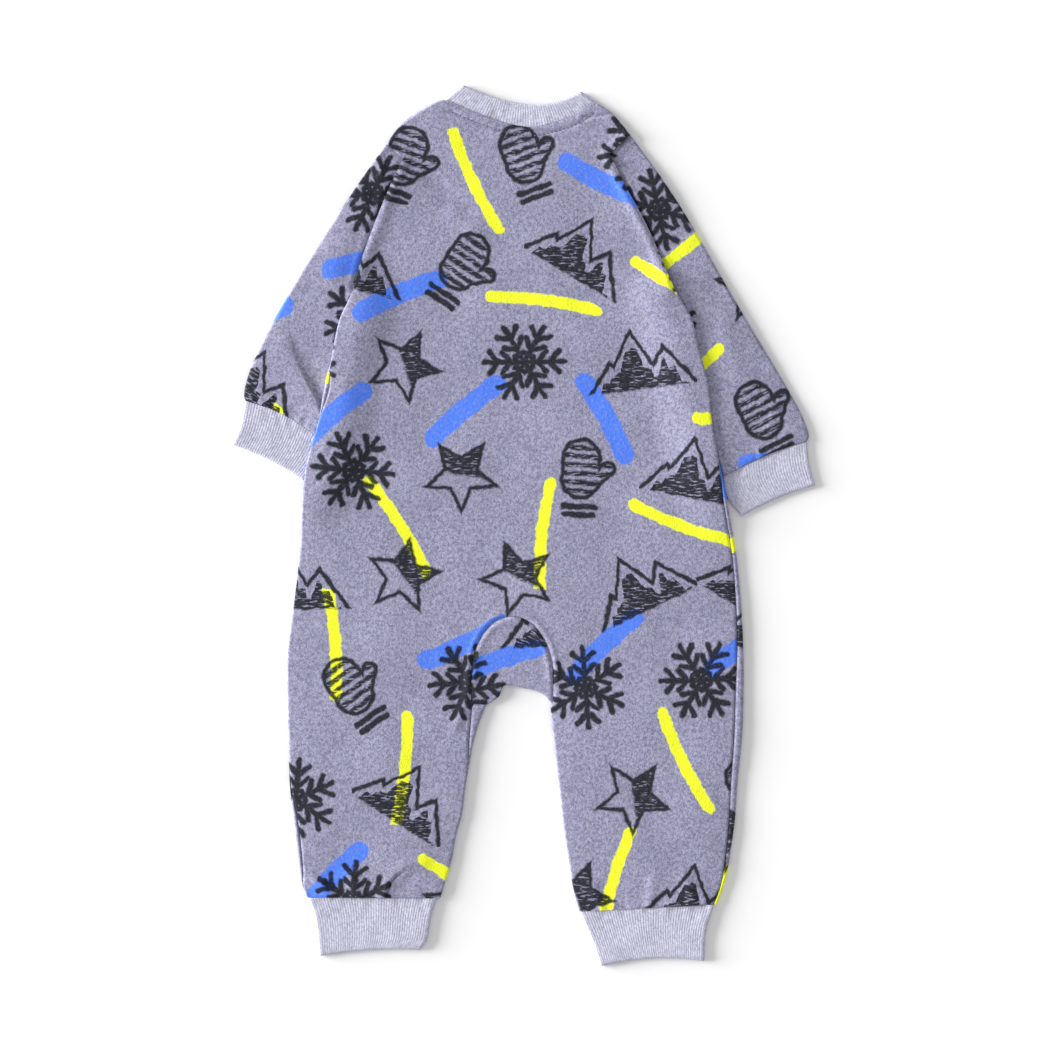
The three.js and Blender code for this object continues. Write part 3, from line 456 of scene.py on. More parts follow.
# the upper side's own relief: seam grooves with a soft welt beside them, puckers, undulation and puff
def reliefAt(x, y, edges=outlines):
    relief = np.zeros(np.shape(x))
    for line, depth, width, welt in seams:
        away = distanceToLine(x, y, line)
        relief += welt * np.exp(-((away - 2 * width - 1) / weltWidth) ** 2)
        relief -= depth * np.exp(-(away / width) ** 2)
    for k, line in enumerate(gatherLines):
        away = distanceToLine(x, y, line)
        ends = np.array([line[0], line[-1]], float)
        ahead = (ends[1] - ends[0]) / np.linalg.norm(ends[1] - ends[0])
        along = (x - ends[0][0]) * ahead[0] + (y - ends[0][1]) * ahead[1]
        pucker = ripplesAt(along, np.zeros(np.shape(along)), 31 + k, gather["shortest"], gather["longest"],
                           gather["height"], gather["waves"])
        relief += pucker * np.exp(-(away / gather["reach"]) ** 1.5) * smooth(away / gather["clear"])
    near = np.full(np.shape(x), 1e9)
    for line in edges:
        near = np.minimum(near, distanceToLine(x, y, line))
    relief += cloth["puff"] * (1 - np.exp(-near / cloth["puffReach"]))
    relief += ripplesAt(x, y, 7, drape["shortest"], drape["longest"], drape["height"])
    relief += ripplesAt(x, y, 8, nap["shortest"], nap["longest"], nap["height"])
    return relief


# points from coordinates of any matching shapes
def place(x, y, z):
    return np.stack(np.broadcast_arrays(x, y, z), -1)


# a body surface: lift and its own height, with creases and relief growing from the underside to the top
def bodyPoints(x, y, height):
    share = height / cloth["bodyHeight"]
    detail = (foldsAt(bodyFolds, x, y) + creasesAt(bodyCreases, x, y) + reliefAt(x, y)) * share ** 2
    return place(x, y, liftAt(x, y) + height + detail)


# round a folded edge at a length over the fold from its outermost line: inward, height, out, up
def wrapFold(length):
    angle = np.clip(length / roll, -np.pi / 2, np.pi / 2)
    beyond = np.maximum(np.abs(length) - quarterRoll, 0)
    return roll * (1 - np.cos(angle)) + beyond, roll * (1 + np.sin(angle)), np.cos(angle), np.sin(angle)


# length over the fold to a place that far in from the outermost line
def lengthToInset(inset):
    inset = np.asarray(inset, float)
    curved = roll * np.arccos(np.clip(1 - inset / roll, -1, 1))
    return np.where(inset < roll, curved, quarterRoll + inset - roll)


frontNeckGap = 0.5  # between the front and its rib, underneath
frontReturn = 1.4  # how far in the front starts where its edge isn't rolled, at the underarm
foldBegins = {"below": 2, "within": 14}  # the roll grows from the underarm down


# stations of one layer at a folded edge, from the seam inwards, with the x that they had when cut
def foldStrip(edge, y, layer, count):
    y = np.asarray(y, float)
    back = layer == "back"
    seam = np.maximum(edge["seam"](y), 0)
    seamLength = lengthToInset(seam)
    folded = smooth((underarmY - y - foldBegins["below"]) / foldBegins["within"])[:, None]
    inset = roll + cloth["flatStart"] + (seam if back else 0 * seam)
    start = seamLength + (1 if back else -1) * cloth["seamGap"] / 2
    stop = lengthToInset(inset) if back else -quarterRoll - cloth["flatStart"] + 0 * seam
    t = np.linspace(0, 1, count + 1)
    length = mixed(start[:, None], stop[:, None], t)
    inward, height, out, up = wrapFold(length)
    groove = cloth["grooveDepth"] * np.exp(-((length - seamLength[:, None]) / cloth["grooveWidth"]) ** 2)
    flatHeight = cloth["bodyHeight"] if back else 0
    x = edge["x"](y)[:, None]
    flatInward = mixed(0 if back else frontReturn, inset[:, None], t)
    return {
        "x": x + edge["inward"] * (mixed(flatInward, inward, folded) + out * groove * folded),
        "height": mixed(flatHeight, height, folded) - up * groove * folded,
        "cut": x + edge["inward"] * (inset[:, None] - np.abs(stop[:, None] - length)),
    }


# columns between two x arrays, without the first; crowd above 1 draws them towards the last
def columnsBetween(fromX, toX, count, crowd):
    t = np.linspace(0, 1, count + 1)[1:]
    crowd = np.asarray(crowd, float)
    share = 1 - (1 - t[None, :]) ** (crowd[:, None] if crowd.ndim else crowd)
    return mixed(fromX[:, None], toX[:, None], share)


def flatBlock(strip, y, toX, count, crowd, layer):
    main = columnsBetween(strip["x"][:, -1], toX, count, crowd)
    height = cloth["bodyHeight"] if layer == "back" else 0
    return {
        "x": np.hstack([strip["x"], main]),
        "height": np.hstack([strip["height"], np.full(main.shape, float(height))]),
        "cut": np.hstack([strip["cut"], main]),
        "y": np.repeat(np.asarray(y, float)[:, None], strip["x"].shape[1] + count, 1),
    }


def joined(a, b):
    return {key: np.hstack([a[key], b[key][:, ::-1][:, 1:]]) for key in a}


def grid(block):
    return bodyPoints(block["x"], block["y"], block["height"]), np.stack([block["cut"], block["y"]], -1)


# rows and columns of the back's grids, and of the fronts', which lie underneath
counts = {
    "fold": 7, "half": 68, "torso": 104, "arch": 26, "crotch": 9, "leg": 84, "upper": 54, "shoulder": 7,
}
underCounts = {
    "fold": 10, "half": 22, "torso": 60, "arch": 12, "crotch": 5, "leg": 50, "upper": 34, "shoulder": 6,
    "centre": 10,
}
# above 1 they draw rows towards the underarm, the shoulders and the hem, and columns towards the arch
torsoCrowd, upperCrowd, legCrowd, seamCrowd = 1.15, 1.7, 1.5, 1.5


# the part above the underarm, filled between the armholes, the shoulders and the neck
def upperGrids(layer, underarm, top, left, right, rows, power=1):
    first, last = underarm["x"][0], underarm["x"][-1]
    shares = (underarm["x"] - first) / (last - first)
    bottom = straight([first, underarmY], [last, underarmY])
    patch = fillPatch(bottom, lambda u: top(u, shares), left, right, power)
    v = (1 - (1 - np.linspace(0, 1, rows + 1)) ** upperCrowd)[::-1]
    points = patch(shares[None, :], v[:, None])
    height = cloth["bodyHeight"] if layer == "back" else 0
    x, y = points[..., 0], points[..., 1]
    return [(bodyPoints(x, y, np.full(x.shape, float(height))), points)]


shoulderStop = 0.1  # each layer ends this far before the middle of the shoulder's fold


def shoulderGrid(layer, base, side, count):
    sign = 1 if layer == "back" else -1
    facing = shoulderDirection(side)
    t = np.linspace(1, 0, count + 1)[:, None]
    inward, height, _, _ = wrapFold(sign * mixed(quarterRoll + cloth["flatStart"], shoulderStop, t))
    reach = roll + cloth["flatStart"] - inward
    x = base[None, :, 0] + facing[0] * reach
    y = base[None, :, 1] + facing[1] * reach
    return bodyPoints(x, y, height + 0 * x), np.stack([x, y], -1)


def shoulderInset(side, points):
    curve = smoothCurve(points)
    inset = shoulderDirection(side) * (roll + cloth["flatStart"])
    return lambda t: curve(t) - inset


creaseColumns = {"middle": 0.65, "reach": 0.11, "extra": 2.2}  # of the left leg, as shares of its width


# columns drawn together where the hem's crisp crease runs, at a density of 1 + extra * exp(-(d / reach)^2)
def drawnTogether(share):
    s = np.linspace(0, 1, 400)
    away = (s - creaseColumns["middle"]) / creaseColumns["reach"]
    density = 1 + creaseColumns["extra"] * np.exp(-away ** 2)
    total = np.cumsum(density) - density[0]
    return np.interp(share, total / total[-1], s)


# one leg below the crotch; its rows turn from level to the slope of the hem
def legGrids(layer, side, n, firstCrowd):
    v = 1 - (1 - np.linspace(0, 1, n["leg"] + 1)) ** legCrowd
    outerY = mixed(crotch["legTopY"], hems[side][0], v)
    innerY = mixed(crotch["legTopY"], hems[side][1], v)
    strip = foldStrip(outer[side], outerY, layer, n["fold"])
    flap = foldStrip(inner[side], innerY, layer, n["fold"])
    crowd = mixed(firstCrowd, 1, smooth(v))[:, None]
    share = 1 - (1 - np.linspace(0, 1, n["half"] + 1)[None, 1:]) ** crowd
    if layer == "back" and side == "left":
        share = mixed(share, drawnTogether(share), smooth(v)[:, None])
    main = mixed(strip["x"][:, -1:], flap["x"][:, -1:], share)
    height = float(cloth["bodyHeight"] if layer == "back" else 0)
    x = np.hstack([strip["x"], main])
    stripY = np.repeat(outerY[:, None], n["fold"] + 1, 1)
    y = np.hstack([stripY, mixed(outerY[:, None], innerY[:, None], share)])
    legHeight = np.hstack([strip["height"], np.full(main.shape, height)])
    cut = np.hstack([strip["cut"], main])
    flapY = np.repeat(innerY[:, None], n["fold"] + 1, 1)
    leg = (bodyPoints(x, y, legHeight), np.stack([cut, y], -1))
    flapX, flapHeight, flapCut = (flap[key][:, ::-1] for key in ("x", "height", "cut"))
    if layer == "front":
        under = 1 - smooth((crotch["legTopY"] - flapY) / crotch["tuckLength"])
        flapHeight = flapHeight * (1 - crotch["tuck"] * under)
    return leg, (bodyPoints(flapX, flapY, flapHeight), np.stack([flapCut, flapY], -1))


def flipped(pair):
    return pair[0][:, ::-1], pair[1][:, ::-1]


# which share of a half's columns ends at the shoulder, before the neck begins
neckShares = {"backLeft": 0.52, "backRight": 0.46, "front": 0.36}


# the back: one piece from the shoulders to both ankles, arched over the gusset
def backGrids():
    n = counts
    torsoY = mixed(underarmY, arch["y"] + arch["rise"], np.linspace(0, 1, n["torso"] + 1) ** torsoCrowd)
    share = smooth((underarmY - torsoY) / (underarmY - torsoY[-1]))
    middle = mixed((outer["left"]["x"](torsoY) + outer["right"]["x"](torsoY)) / 2, arch["x"], share)
    crowd = mixed(1, seamCrowd, share)
    strips = [foldStrip(outer[s], torsoY, "back", n["fold"]) for s in ("left", "right")]
    torso = joined(*[flatBlock(strip, torsoY, middle, n["half"], crowd, "back") for strip in strips])
    grids = [grid(torso)]
    underarm = {key: torso[key][0] for key in torso}
    columns = len(underarm["x"]) - 1
    neckFrom = n["fold"] + round(n["half"] * neckShares["backLeft"])
    neckTo = columns - n["fold"] - round(n["half"] * neckShares["backRight"])
    leftTop = shoulderInset("left", [*shoulders["left"][0], shoulders["left"][1]])
    rightTop = shoulderInset("right", [*shoulders["right"][0], shoulders["right"][1]])
    neck = besideCurve(smoothCurve(backNeck["seam"]), cloth["seamGap"] / 2, 1)

    def top(u, shares):
        u = np.asarray(u, float)
        a, b = shares[neckFrom], shares[neckTo]
        onLeft, onRight = (u <= a + 1e-9)[..., None], (u > b + 1e-9)[..., None]
        middlePart = neck(np.clip((u - a) / (b - a), 0, 1))
        rightPart = rightTop(np.clip((1 - u) / (1 - b), 0, 1))
        return np.where(onLeft, leftTop(np.clip(u / a, 0, 1)), np.where(onRight, rightPart, middlePart))

    stop = roll + cloth["flatStart"]
    upper = upperGrids("back", underarm, top, armhole("left", stop), armhole("right", stop), n["upper"])
    grids += upper
    topRow = upper[0][0][0]
    grids.append(shoulderGrid("back", topRow[:neckFrom + 1], "left", n["shoulder"]))
    grids.append(shoulderGrid("back", topRow[neckTo + 1:], "right", n["shoulder"]))
    archY = arch["y"] + arch["rise"] * np.cos(np.linspace(0, np.pi / 2, n["arch"] + 1))
    lowY = np.linspace(arch["y"], crotch["splitY"], n["crotch"] + 1)[1:]
    y = np.concatenate([archY, lowY])
    for side in ("left", "right"):
        away = np.sqrt(np.clip(np.linspace(0, len(y) - 1, len(y)) / 3, 0, 1))
        seamX = archX(y, side) - outer[side]["inward"] * cloth["seamGap"] / 2 * away
        strip = foldStrip(outer[side], y, "back", n["fold"])
        block = flatBlock(strip, y, seamX, n["half"], seamCrowd, "back")
        leg, flap = legGrids("back", side, n, seamCrowd)
        pair = grid(block)
        bridge = (np.stack([pair[0][-1], leg[0][0]]), np.stack([pair[1][-1], leg[1][0]]))
        made = [pair, bridge, leg, flap]
        grids += made if side == "left" else [flipped(one) for one in made]
    return grids


# a front: from the side and the armhole to the centre, and down its own leg
def frontGrids(side):
    n = underCounts
    edge = outer[side]
    centre = centreX - edge["inward"] * cloth["seamGap"] / 2
    torsoY = mixed(underarmY, arch["y"] + arch["rise"], np.linspace(0, 1, n["torso"] + 1) ** torsoCrowd)
    archY = arch["y"] + arch["rise"] * np.cos(np.linspace(0, np.pi / 2, n["arch"] + 1))
    y = np.concatenate([torsoY, archY[1:], [crotch["frontY"]]])
    strip = foldStrip(edge, y, "front", n["fold"])
    lastX = strip["x"][:, -1]
    evenX = mixed(lastX, centre, n["half"] / (n["half"] + n["centre"]))
    splitX = mixed(evenX, crotch[side], smooth((underarmY - y) / (underarmY - crotch["frontY"])))
    block = flatBlock(strip, y, splitX, n["half"], 1.0, "front")
    more = columnsBetween(splitX, np.full(len(y), centre), n["centre"], 1.0)
    block = {
        "x": np.hstack([block["x"], more]),
        "height": np.hstack([block["height"], 0 * more]),
        "cut": np.hstack([block["cut"], more]),
        "y": np.repeat(y[:, None], block["x"].shape[1] + n["centre"], 1),
    }
    grids = [grid(block)]
    underarm = {key: block[key][0] for key in block}
    neckFrom = n["fold"] + round((n["half"] + n["centre"]) * neckShares["front"])
    turn = edge["inward"]
    stop = roll + cloth["flatStart"]
    side0 = besideCurve(armhole(side, stop), frontReturn, turn, 0.07)
    line = shoulderInset(side, shoulders[side][0])
    offset = side0(1.0) - line(0.0)
    neck = besideCurve(smoothCurve(frontNeck[side][0]), frontNeckGap, turn)
    neckBottom = neck(1.0) * [0, 1] + [centre, 0]

    def top(u, shares):
        u = np.asarray(u, float)
        a = shares[neckFrom]
        t = np.clip((u - a) / (1 - a), 0, 1)[..., None]
        onNeck = mixed(neck(t[..., 0]), neckBottom, smooth((t - 0.9) * 10))
        s = np.clip(u / a, 0, 1)
        return np.where((u <= a + 1e-9)[..., None], line(s) + offset * (1 - s)[..., None], onNeck)

    centreLine = straight([centre, underarmY], neckBottom)
    upper = upperGrids("front", underarm, top, side0, centreLine, n["upper"], 3)
    grids += upper
    grids.append(shoulderGrid("front", upper[0][0][0][:neckFrom + 1], side, n["shoulder"]))
    lowY = np.linspace(crotch["frontY"], crotch["splitY"], n["crotch"] + 1)
    lowStrip = foldStrip(edge, lowY, "front", n["fold"])
    low = grid(flatBlock(lowStrip, lowY, np.full(len(lowY), float(crotch[side])), n["half"], 1.0, "front"))
    leg, flap = legGrids("front", side, n, 1.0)
    bridge = (np.stack([low[0][-1], leg[0][0]]), np.stack([low[1][-1], leg[1][0]]))
    return grids + [low, bridge, leg, flap]


# the gusset: its arched upper side, a fold along the crotch and a plain return
def gussetGrids():
    columns, rows = gusset["columns"], gusset["rows"]
    halfWidth, rise = arch["halfWidth"] - gusset["sideGap"], arch["rise"] - gusset["topGap"]
    foldY = tableColumn(gussetFold, "fold")
    t = np.linspace(0, 1, columns + 1)
    x = arch["x"] - halfWidth * np.cos(t * np.pi)
    low = foldY(x)
    first, last = gusset["foldFrom"], gusset["foldTo"]
    isFolded = (np.arange(columns + 1) >= first) & (np.arange(columns + 1) <= last)
    startY = low + roll * isFolded
    topY = arch["y"] + rise * np.sqrt(np.clip(1 - ((x - arch["x"]) / halfWidth) ** 2, 0, 1))
    v = 1 - (1 - np.linspace(0, 1, rows + 1)[:, None]) ** gusset["crowd"]
    y = mixed(startY[None], topY[None], v)
    xs = np.repeat(x[None], rows + 1, 0)
    upper = (bodyPoints(xs, y, np.full(y.shape, cloth["bodyHeight"])), np.stack([xs, y], -1))
    xf, lowF = x[first:last + 1], low[first:last + 1]
    length = np.linspace(-quarterRoll, quarterRoll, gusset["roll"] + 1)[:, None]
    inward, height, _, _ = wrapFold(length)
    yr = lowF[None] + inward
    xr = np.repeat(xf[None], gusset["roll"] + 1, 0)
    cutY = lowF[None] + roll - (quarterRoll - length)
    rolled = (bodyPoints(xr, yr, height + 0 * xr), np.stack([xr, cutY + 0 * xr], -1))
    ends = np.linspace(crotch["left"] + gusset["endGap"], crotch["right"] - gusset["endGap"], len(xf))
    w = np.linspace(1, 0, gusset["return"] + 1)[:, None]
    xu = mixed(xf[None], ends[None], w)
    yu = mixed(lowF[None] + roll, crotch["frontY"] - gusset["endGap"], w)
    under = (bodyPoints(xu, yu, 0 * xu), np.stack([xu, 2 * (lowF[None] + roll - quarterRoll) - yu], -1))
    return [under, rolled, upper]


# a flattened tube over a patch: near roll, upper side, far roll, underside; ribs stand round it
def tubeGrid(patch, v, height, topCount, rollCount, underCount, detail, ribs=0):
    v = np.asarray(v, float)[:, None]
    radius = np.broadcast_to(height(v) / 2, v.shape)
    near, far = patch(0 * v, v), patch(0 * v + 1, v)
    width = np.linalg.norm(far - near, axis=-1)
    nearFacing = unit(near - patch(radius / width, v))
    farFacing = unit(far - patch(1 - radius / width, v))
    angle = np.linspace(-np.pi / 2, np.pi / 2, rollCount + 1)[None]
    tTop, tUnder = np.linspace(0, 1, topCount + 1)[None, 1:-1], np.linspace(1, 0, underCount + 1)[None, 1:]
    flat = width - 2 * radius
    rollIn, rollUp = radius * (1 - np.cos(angle)), radius * (1 + np.sin(angle))
    inset = np.hstack([rollIn, radius + flat * tTop, width - rollIn, radius + flat * tUnder])
    z = np.hstack([rollUp, 2 * radius + 0 * tTop, rollUp[:, ::-1], 0 * radius * tUnder])
    out = np.hstack([np.cos(angle), 0 * tTop, np.cos(angle), 0 * tUnder])
    up = np.hstack([np.sin(angle), 0 * tTop + 1, -np.sin(angle), 0 * tUnder - 1])
    points = patch(inset / width, v)
    isFar = np.arange(inset.shape[1]) > rollCount + topCount // 2
    facing = np.where(isFar[None, :, None], farFacing, nearFacing)
    arc = radius * (angle + np.pi / 2)
    nearCut = patch(radius / width, v) + nearFacing * (np.pi * radius - arc)[..., None]
    farCut = patch(1 - radius / width, v) + farFacing * arc[..., None]
    edgeLine = far[-1, 0] - far[0, 0]
    mirror = np.array([-edgeLine[1], edgeLine[0]]) / np.linalg.norm(edgeLine)
    inwards = points[:, -underCount:] - patch(1 - radius / width, v)
    underCut = farCut[:, -1:] + inwards - 2 * (inwards @ mirror)[..., None] * mirror
    cut = np.concatenate([nearCut, points[:, rollCount + 1:rollCount + topCount], farCut, underCut], 1)
    relief = detail(points[..., 0], points[..., 1]) * (z / (2 * radius)) ** 2
    raised = np.zeros(inset.shape)
    if ribs:
        sideRibs = max(round(float(np.pi * radius[0, 0] / rib["pitch"])), 1)
        nearPhase, farPhase = (angle / np.pi - 0.5) * sideRibs, ribs + (angle / np.pi + 0.5) * sideRibs
        phase = np.hstack([nearPhase, tTop * ribs, farPhase, ribs + sideRibs + (1 - tUnder) * ribs])
        raised = ribProfile(phase) * np.clip(up + rib["around"], 0, 1)
        along = np.linalg.norm(patch(0.5 + 0 * v, v) - patch(0.5 + 0 * v, 0 * v), axis=-1)
        cut = np.stack(np.broadcast_arrays(phase * rib["pitch"], along), -1)
    x = points[..., 0] + facing[..., 0] * out * raised
    y = points[..., 1] + facing[..., 1] * out * raised
    return place(x, y, z + relief + up * raised), cut


# a sleeve's rows and columns; its end tucks under the armhole's edge, except near the shoulder
sleeveCounts = {"rows": 140, "top": 108, "roll": 9, "under": 30, "crowd": 0.85}
sleeveTuck = {"under": 1.0, "past": -0.15, "from": 0.78, "over": 0.14}


def sleeveGrids(side):
    sleeve = sleeves[side]
    turn = outer[side]["inward"]

    def tuck(u):
        nearShoulder = smooth((np.asarray(u) - sleeveTuck["from"]) / sleeveTuck["over"])
        return mixed(sleeveTuck["under"], sleeveTuck["past"], nearShoulder)

    end = besideCurve(armhole(side, 0), tuck, turn)
    outerCurve, innerCurve = smoothCurve(sleeve["outer"]), smoothCurve(sleeve["inner"])
    low = cuffSeam(side)
    share = 0.0005  # keeps the end just clear of the cuff
    finish = lambda u: mixed(low(u), end(u), share)
    left0, left1 = end(0.0) - innerCurve(0.0), finish(0.0) - innerCurve(1.0)
    right0, right1 = end(1.0) - outerCurve(0.0), finish(1.0) - outerCurve(1.0)
    left = lambda v: innerCurve(v) + mixed(left0, left1, np.asarray(v)[..., None])
    right = lambda v: outerCurve(v) + mixed(right0, right1, np.asarray(v)[..., None])
    patch = fillPatch(end, finish, left, right)
    edges = [smoothCurve(sleeve["outer"])(steps60)]

    def detail(x, y):
        return foldsAt(sleeveFolds, x, y) + creasesAt(sleeveCreases, x, y) + reliefAt(x, y, edges)

    n = sleeveCounts
    t = np.linspace(0, 1, n["rows"] + 1)
    v = mixed(t, smooth(t), n["crowd"])
    height = lambda v: mixed(cloth["armholeHeight"], cloth["sleeveHeight"], smooth(v * 5))
    return [tubeGrid(patch, v, height, n["top"], n["roll"], n["under"], detail)]


rib = {
    "pitch": 2.15,
    "height": 0.07,
    "thickness": 1.3,
    "perRib": 6,  # columns to a rib
    "edgeRound": 0.9,
    "around": 0.6,  # how far the ribs go on round the rolled edges
}


# a rib's cross-section: a rounded ridge with a narrow groove, phase counts ribs
def ribProfile(phase):
    return rib["height"] * (0.5 - 0.5 * np.cos(2 * np.pi * phase)) ** 0.7


# rib bands: row ends from the seam to the free edge, and the bow of the first and last row
bands = {
    "cuff_left": {
        "start": [[-148.5, 60.4], [-156, 46], [-165, 34.1]],
        "end": [[-208.8, 93.6], [-212.5, 74.6], [-218.3, 61.1]],
        "bows": [-5, -2],
        "height": cloth["cuffHeight"],
    },
    "cuff_right": {
        "start": [[148.8, 36.9], [151.5, 22.5], [162.8, 7.1]],
        "end": [[211.9, 63.4], [213.5, 47.5], [218.1, 30.4]],
        "bows": [2.4, 2],
        "height": cloth["cuffHeight"],
    },
    "ankle_left": {
        "start": [[-161.6, -278.2], [-156.8, -292.1], [-153.3, -321.9]],
        "end": [[-65.3, -278.6], [-69.4, -292.1], [-72.9, -310.5], [-77.6, -317.4]],
        "bows": [0.3, 2.2],
        "height": cloth["bandHeight"],
    },
    "ankle_right": {
        "start": [[41.6, -288.6], [50, -308.6], [57.4, -329.6]],
        "end": [[142.5, -283.4], [136.5, -303.4], [134.9, -325.9]],
        "bows": [0.4, 4],
        "height": cloth["bandHeight"],
    },
}
bandCounts = {"rows": 26, "roll": 12, "under": 40}
bandCrowd = 0.88  # draws a band's rows towards its seam and its free edge
bandDips = {"seam": 0.1, "width": 0.9}


# a band's own relief: puckers at its seam, slow waves, a dip at the seam and a rounded free edge
def bandRelief(seamLine, freeLine, seed):
    def read(x, y):
        fromSeam, fromEdge = distanceToLine(x, y, seamLine), distanceToLine(x, y, freeLine)
        pucker = ripplesAt(x, y, seed + 50, 6, 15, 0.25) * np.exp(-(fromSeam / 9) ** 1.5)
        waves = ripplesAt(x, y, seed, 14, 60, 0.3) + pucker
        atSeam = np.exp(-(fromSeam / bandDips["width"]) ** 2)
        atEdge = np.exp(-(fromEdge / bandDips["width"]) ** 2)
        return waves - bandDips["seam"] * atSeam - rib["edgeRound"] * atEdge

    return read


def bandGrids(name):
    band = bands[name]
    startCurve, endCurve = smoothCurve(band["start"]), smoothCurve(band["end"])
    a, b = np.array(band["start"][0], float), np.array(band["end"][0], float)
    ribs = round(np.linalg.norm(b - a) / rib["pitch"])
    gapShare = 0.0025  # keeps the band just clear of the fleece at its seam

    def patch(u, v):
        u, v = np.broadcast_arrays(np.asarray(u, float), np.asarray(v, float))
        along = mixed(gapShare, 1, v)
        start, end = startCurve(along), endCurve(along)
        ahead = unit(end - start)
        across = np.stack([-ahead[..., 1], ahead[..., 0]], -1)
        bow = mixed(band["bows"][0], band["bows"][1], v) * 4 * u * (1 - u)
        return mixed(start, end, u[..., None]) + across * bow[..., None]

    t = np.linspace(0, 1, bandCounts["rows"] + 1)
    v = mixed(t, smooth(t), bandCrowd)
    height = lambda v: band["height"] + 0 * v
    detail = bandRelief(patch(steps60, 0.0), patch(steps60, 1.0), len(name) + int(a[0]) % 17)
    top, rollCount, under = ribs * rib["perRib"], bandCounts["roll"], bandCounts["under"]
    return [tubeGrid(patch, v, height, top, rollCount, under, detail, ribs)]


collarShape = {"ribs": 54, "ribShare": 0.8, "seamShare": 0.004, "height": 18, "centreGap": 0.2}


# the collar: ribbed above, folded at both ends, open underneath at the centre front
def collarGrids():
    seam, edge = smoothCurve(backNeck["seam"]), smoothCurve(backNeck["edge"])
    ribs, rollCount, underCount = collarShape["ribs"], bandCounts["roll"], bandCounts["under"]
    radius = cloth["bandHeight"] / 2
    t = np.linspace(0, 1, bandCounts["rows"] + 1)
    v = mixed(t, smooth(t), bandCrowd)[:, None]
    upper = lambda u, v: mixed(seam(u), edge(u), mixed(collarShape["seamShare"], 1, v)[..., None])
    near, far = upper(0 * v, v), upper(0 * v + 1, v)
    width = np.linalg.norm(far - near, axis=-1)
    tTop = np.linspace(0, 1, ribs * rib["perRib"] + 1)[None]
    top = upper(radius / width + (1 - 2 * radius / width) * tTop, v + 0 * tTop)
    phase = tTop[0] * ribs
    seamLine, freeLine = upper(steps60, 0 * steps60), upper(steps60, 0 * steps60 + 1)
    relief = bandRelief(seamLine, freeLine, 5)(top[..., 0], top[..., 1])
    raised = collarShape["ribShare"] * ribProfile(phase)
    topPoints = place(top[..., 0], top[..., 1], cloth["bandHeight"] + raised + relief)
    halves = {}
    for side in ("left", "right"):
        fold = near if side == "left" else far
        beside = upper(radius / width if side == "left" else 1 - radius / width, v)
        facing = unit(fold - beside)
        angle = np.linspace(np.pi / 2, -np.pi / 2, rollCount + 1)[1:-1][None, :, None]
        rolled = fold - facing * radius * (1 - np.cos(angle))
        rolledZ = np.repeat(radius * (1 + np.sin(angle[..., 0])), len(v), 0)
        frontSeam, frontEdge = smoothCurve(frontNeck[side][0]), smoothCurve(frontNeck[side][1])
        s = np.linspace(0, 1, underCount + 1)[None] + 0 * v
        under = mixed(frontSeam(s), frontEdge(s), mixed(collarShape["seamShare"], 1, v)[..., None])
        under = under - facing * radius * (1 - s)[..., None]
        stop = centreX - outer[side]["inward"] * collarShape["centreGap"]
        under[..., 0] = mixed(under[..., 0], stop, smooth((s - 0.98) * 50))
        xy = np.concatenate([rolled, under], 1)
        halves[side] = place(xy[..., 0], xy[..., 1], np.hstack([rolledZ, np.zeros(s.shape)]))
    points = np.concatenate([halves["left"][:, ::-1], topPoints, halves["right"]], 1)
    middle = points[len(v) // 2]
    around = np.concatenate([[0], np.cumsum(np.linalg.norm(np.diff(middle, axis=0), axis=-1))])
    start = halves["left"].shape[1]
    around = around - around[start]
    inside = slice(start, start + tTop.shape[1])
    around[inside] = phase * rib["pitch"]
    around[inside.stop:] += phase[-1] * rib["pitch"] - around[inside.stop]
    along = np.repeat(v * collarShape["height"], points.shape[1], 1)
    return [(points, np.stack([np.repeat(around[None], len(v), 0), along], -1))]


# how each piece lay on the printed cloth when it was cut: turn in degrees, shift in millimetres
grain = {
    "backPanel": (0, 0, 0),
    "gusset": (24, 37, 11),
    "frontLeft": (0, 130, 61),
    "frontRight": (0, -75, 28),
    "sleeveLeft": (31, 56, -30),
    "sleeveRight": (-28, 18, 43),
}

# the cut of each piece in metres, with what it lies on
cuts = {
    "backPanel": {"flat": (0.34, 0.608), "area": 0.155,
                  "restsOn": ["frontLeft", "frontRight", "sleeveLeft", "sleeveRight"]},
    "gusset": {"flat": (0.062, 0.08), "area": 0.0036, "restsOn": ["frontLeft", "frontRight"]},
    "frontLeft": {"flat": (0.177, 0.597), "area": 0.0803, "restsOn": ["floor"]},
    "frontRight": {"flat": (0.176, 0.604), "area": 0.0783, "restsOn": ["floor"]},
    "sleeveLeft": {"flat": (0.155, 0.224), "area": 0.0195, "restsOn": ["floor"]},
    "sleeveRight": {"flat": (0.15, 0.267), "area": 0.0237, "restsOn": ["floor"]},
    "cuffLeft": {"flat": (0.147, 0.035), "area": 0.0051, "restsOn": ["floor"]},
    "cuffRight": {"flat": (0.147, 0.034), "area": 0.0049, "restsOn": ["floor"]},
    "ankleLeft": {"flat": (0.207, 0.04), "area": 0.0081, "restsOn": ["floor"]},
    "ankleRight": {"flat": (0.215, 0.039), "area": 0.0082, "restsOn": ["floor"]},
    "collar": {"flat": (0.284, 0.018), "area": 0.0051, "restsOn": ["floor"]},
}


# the cut, turned and shifted on the printed cloth
def turned(cut, name):
    angle, shiftX, shiftY = grain.get(name, (0, 0, 0))
    c, s = np.cos(np.radians(angle)), np.sin(np.radians(angle))
    return np.stack([cut[:, 0] * c - cut[:, 1] * s + shiftX, cut[:, 0] * s + cut[:, 1] * c + shiftY], -1)


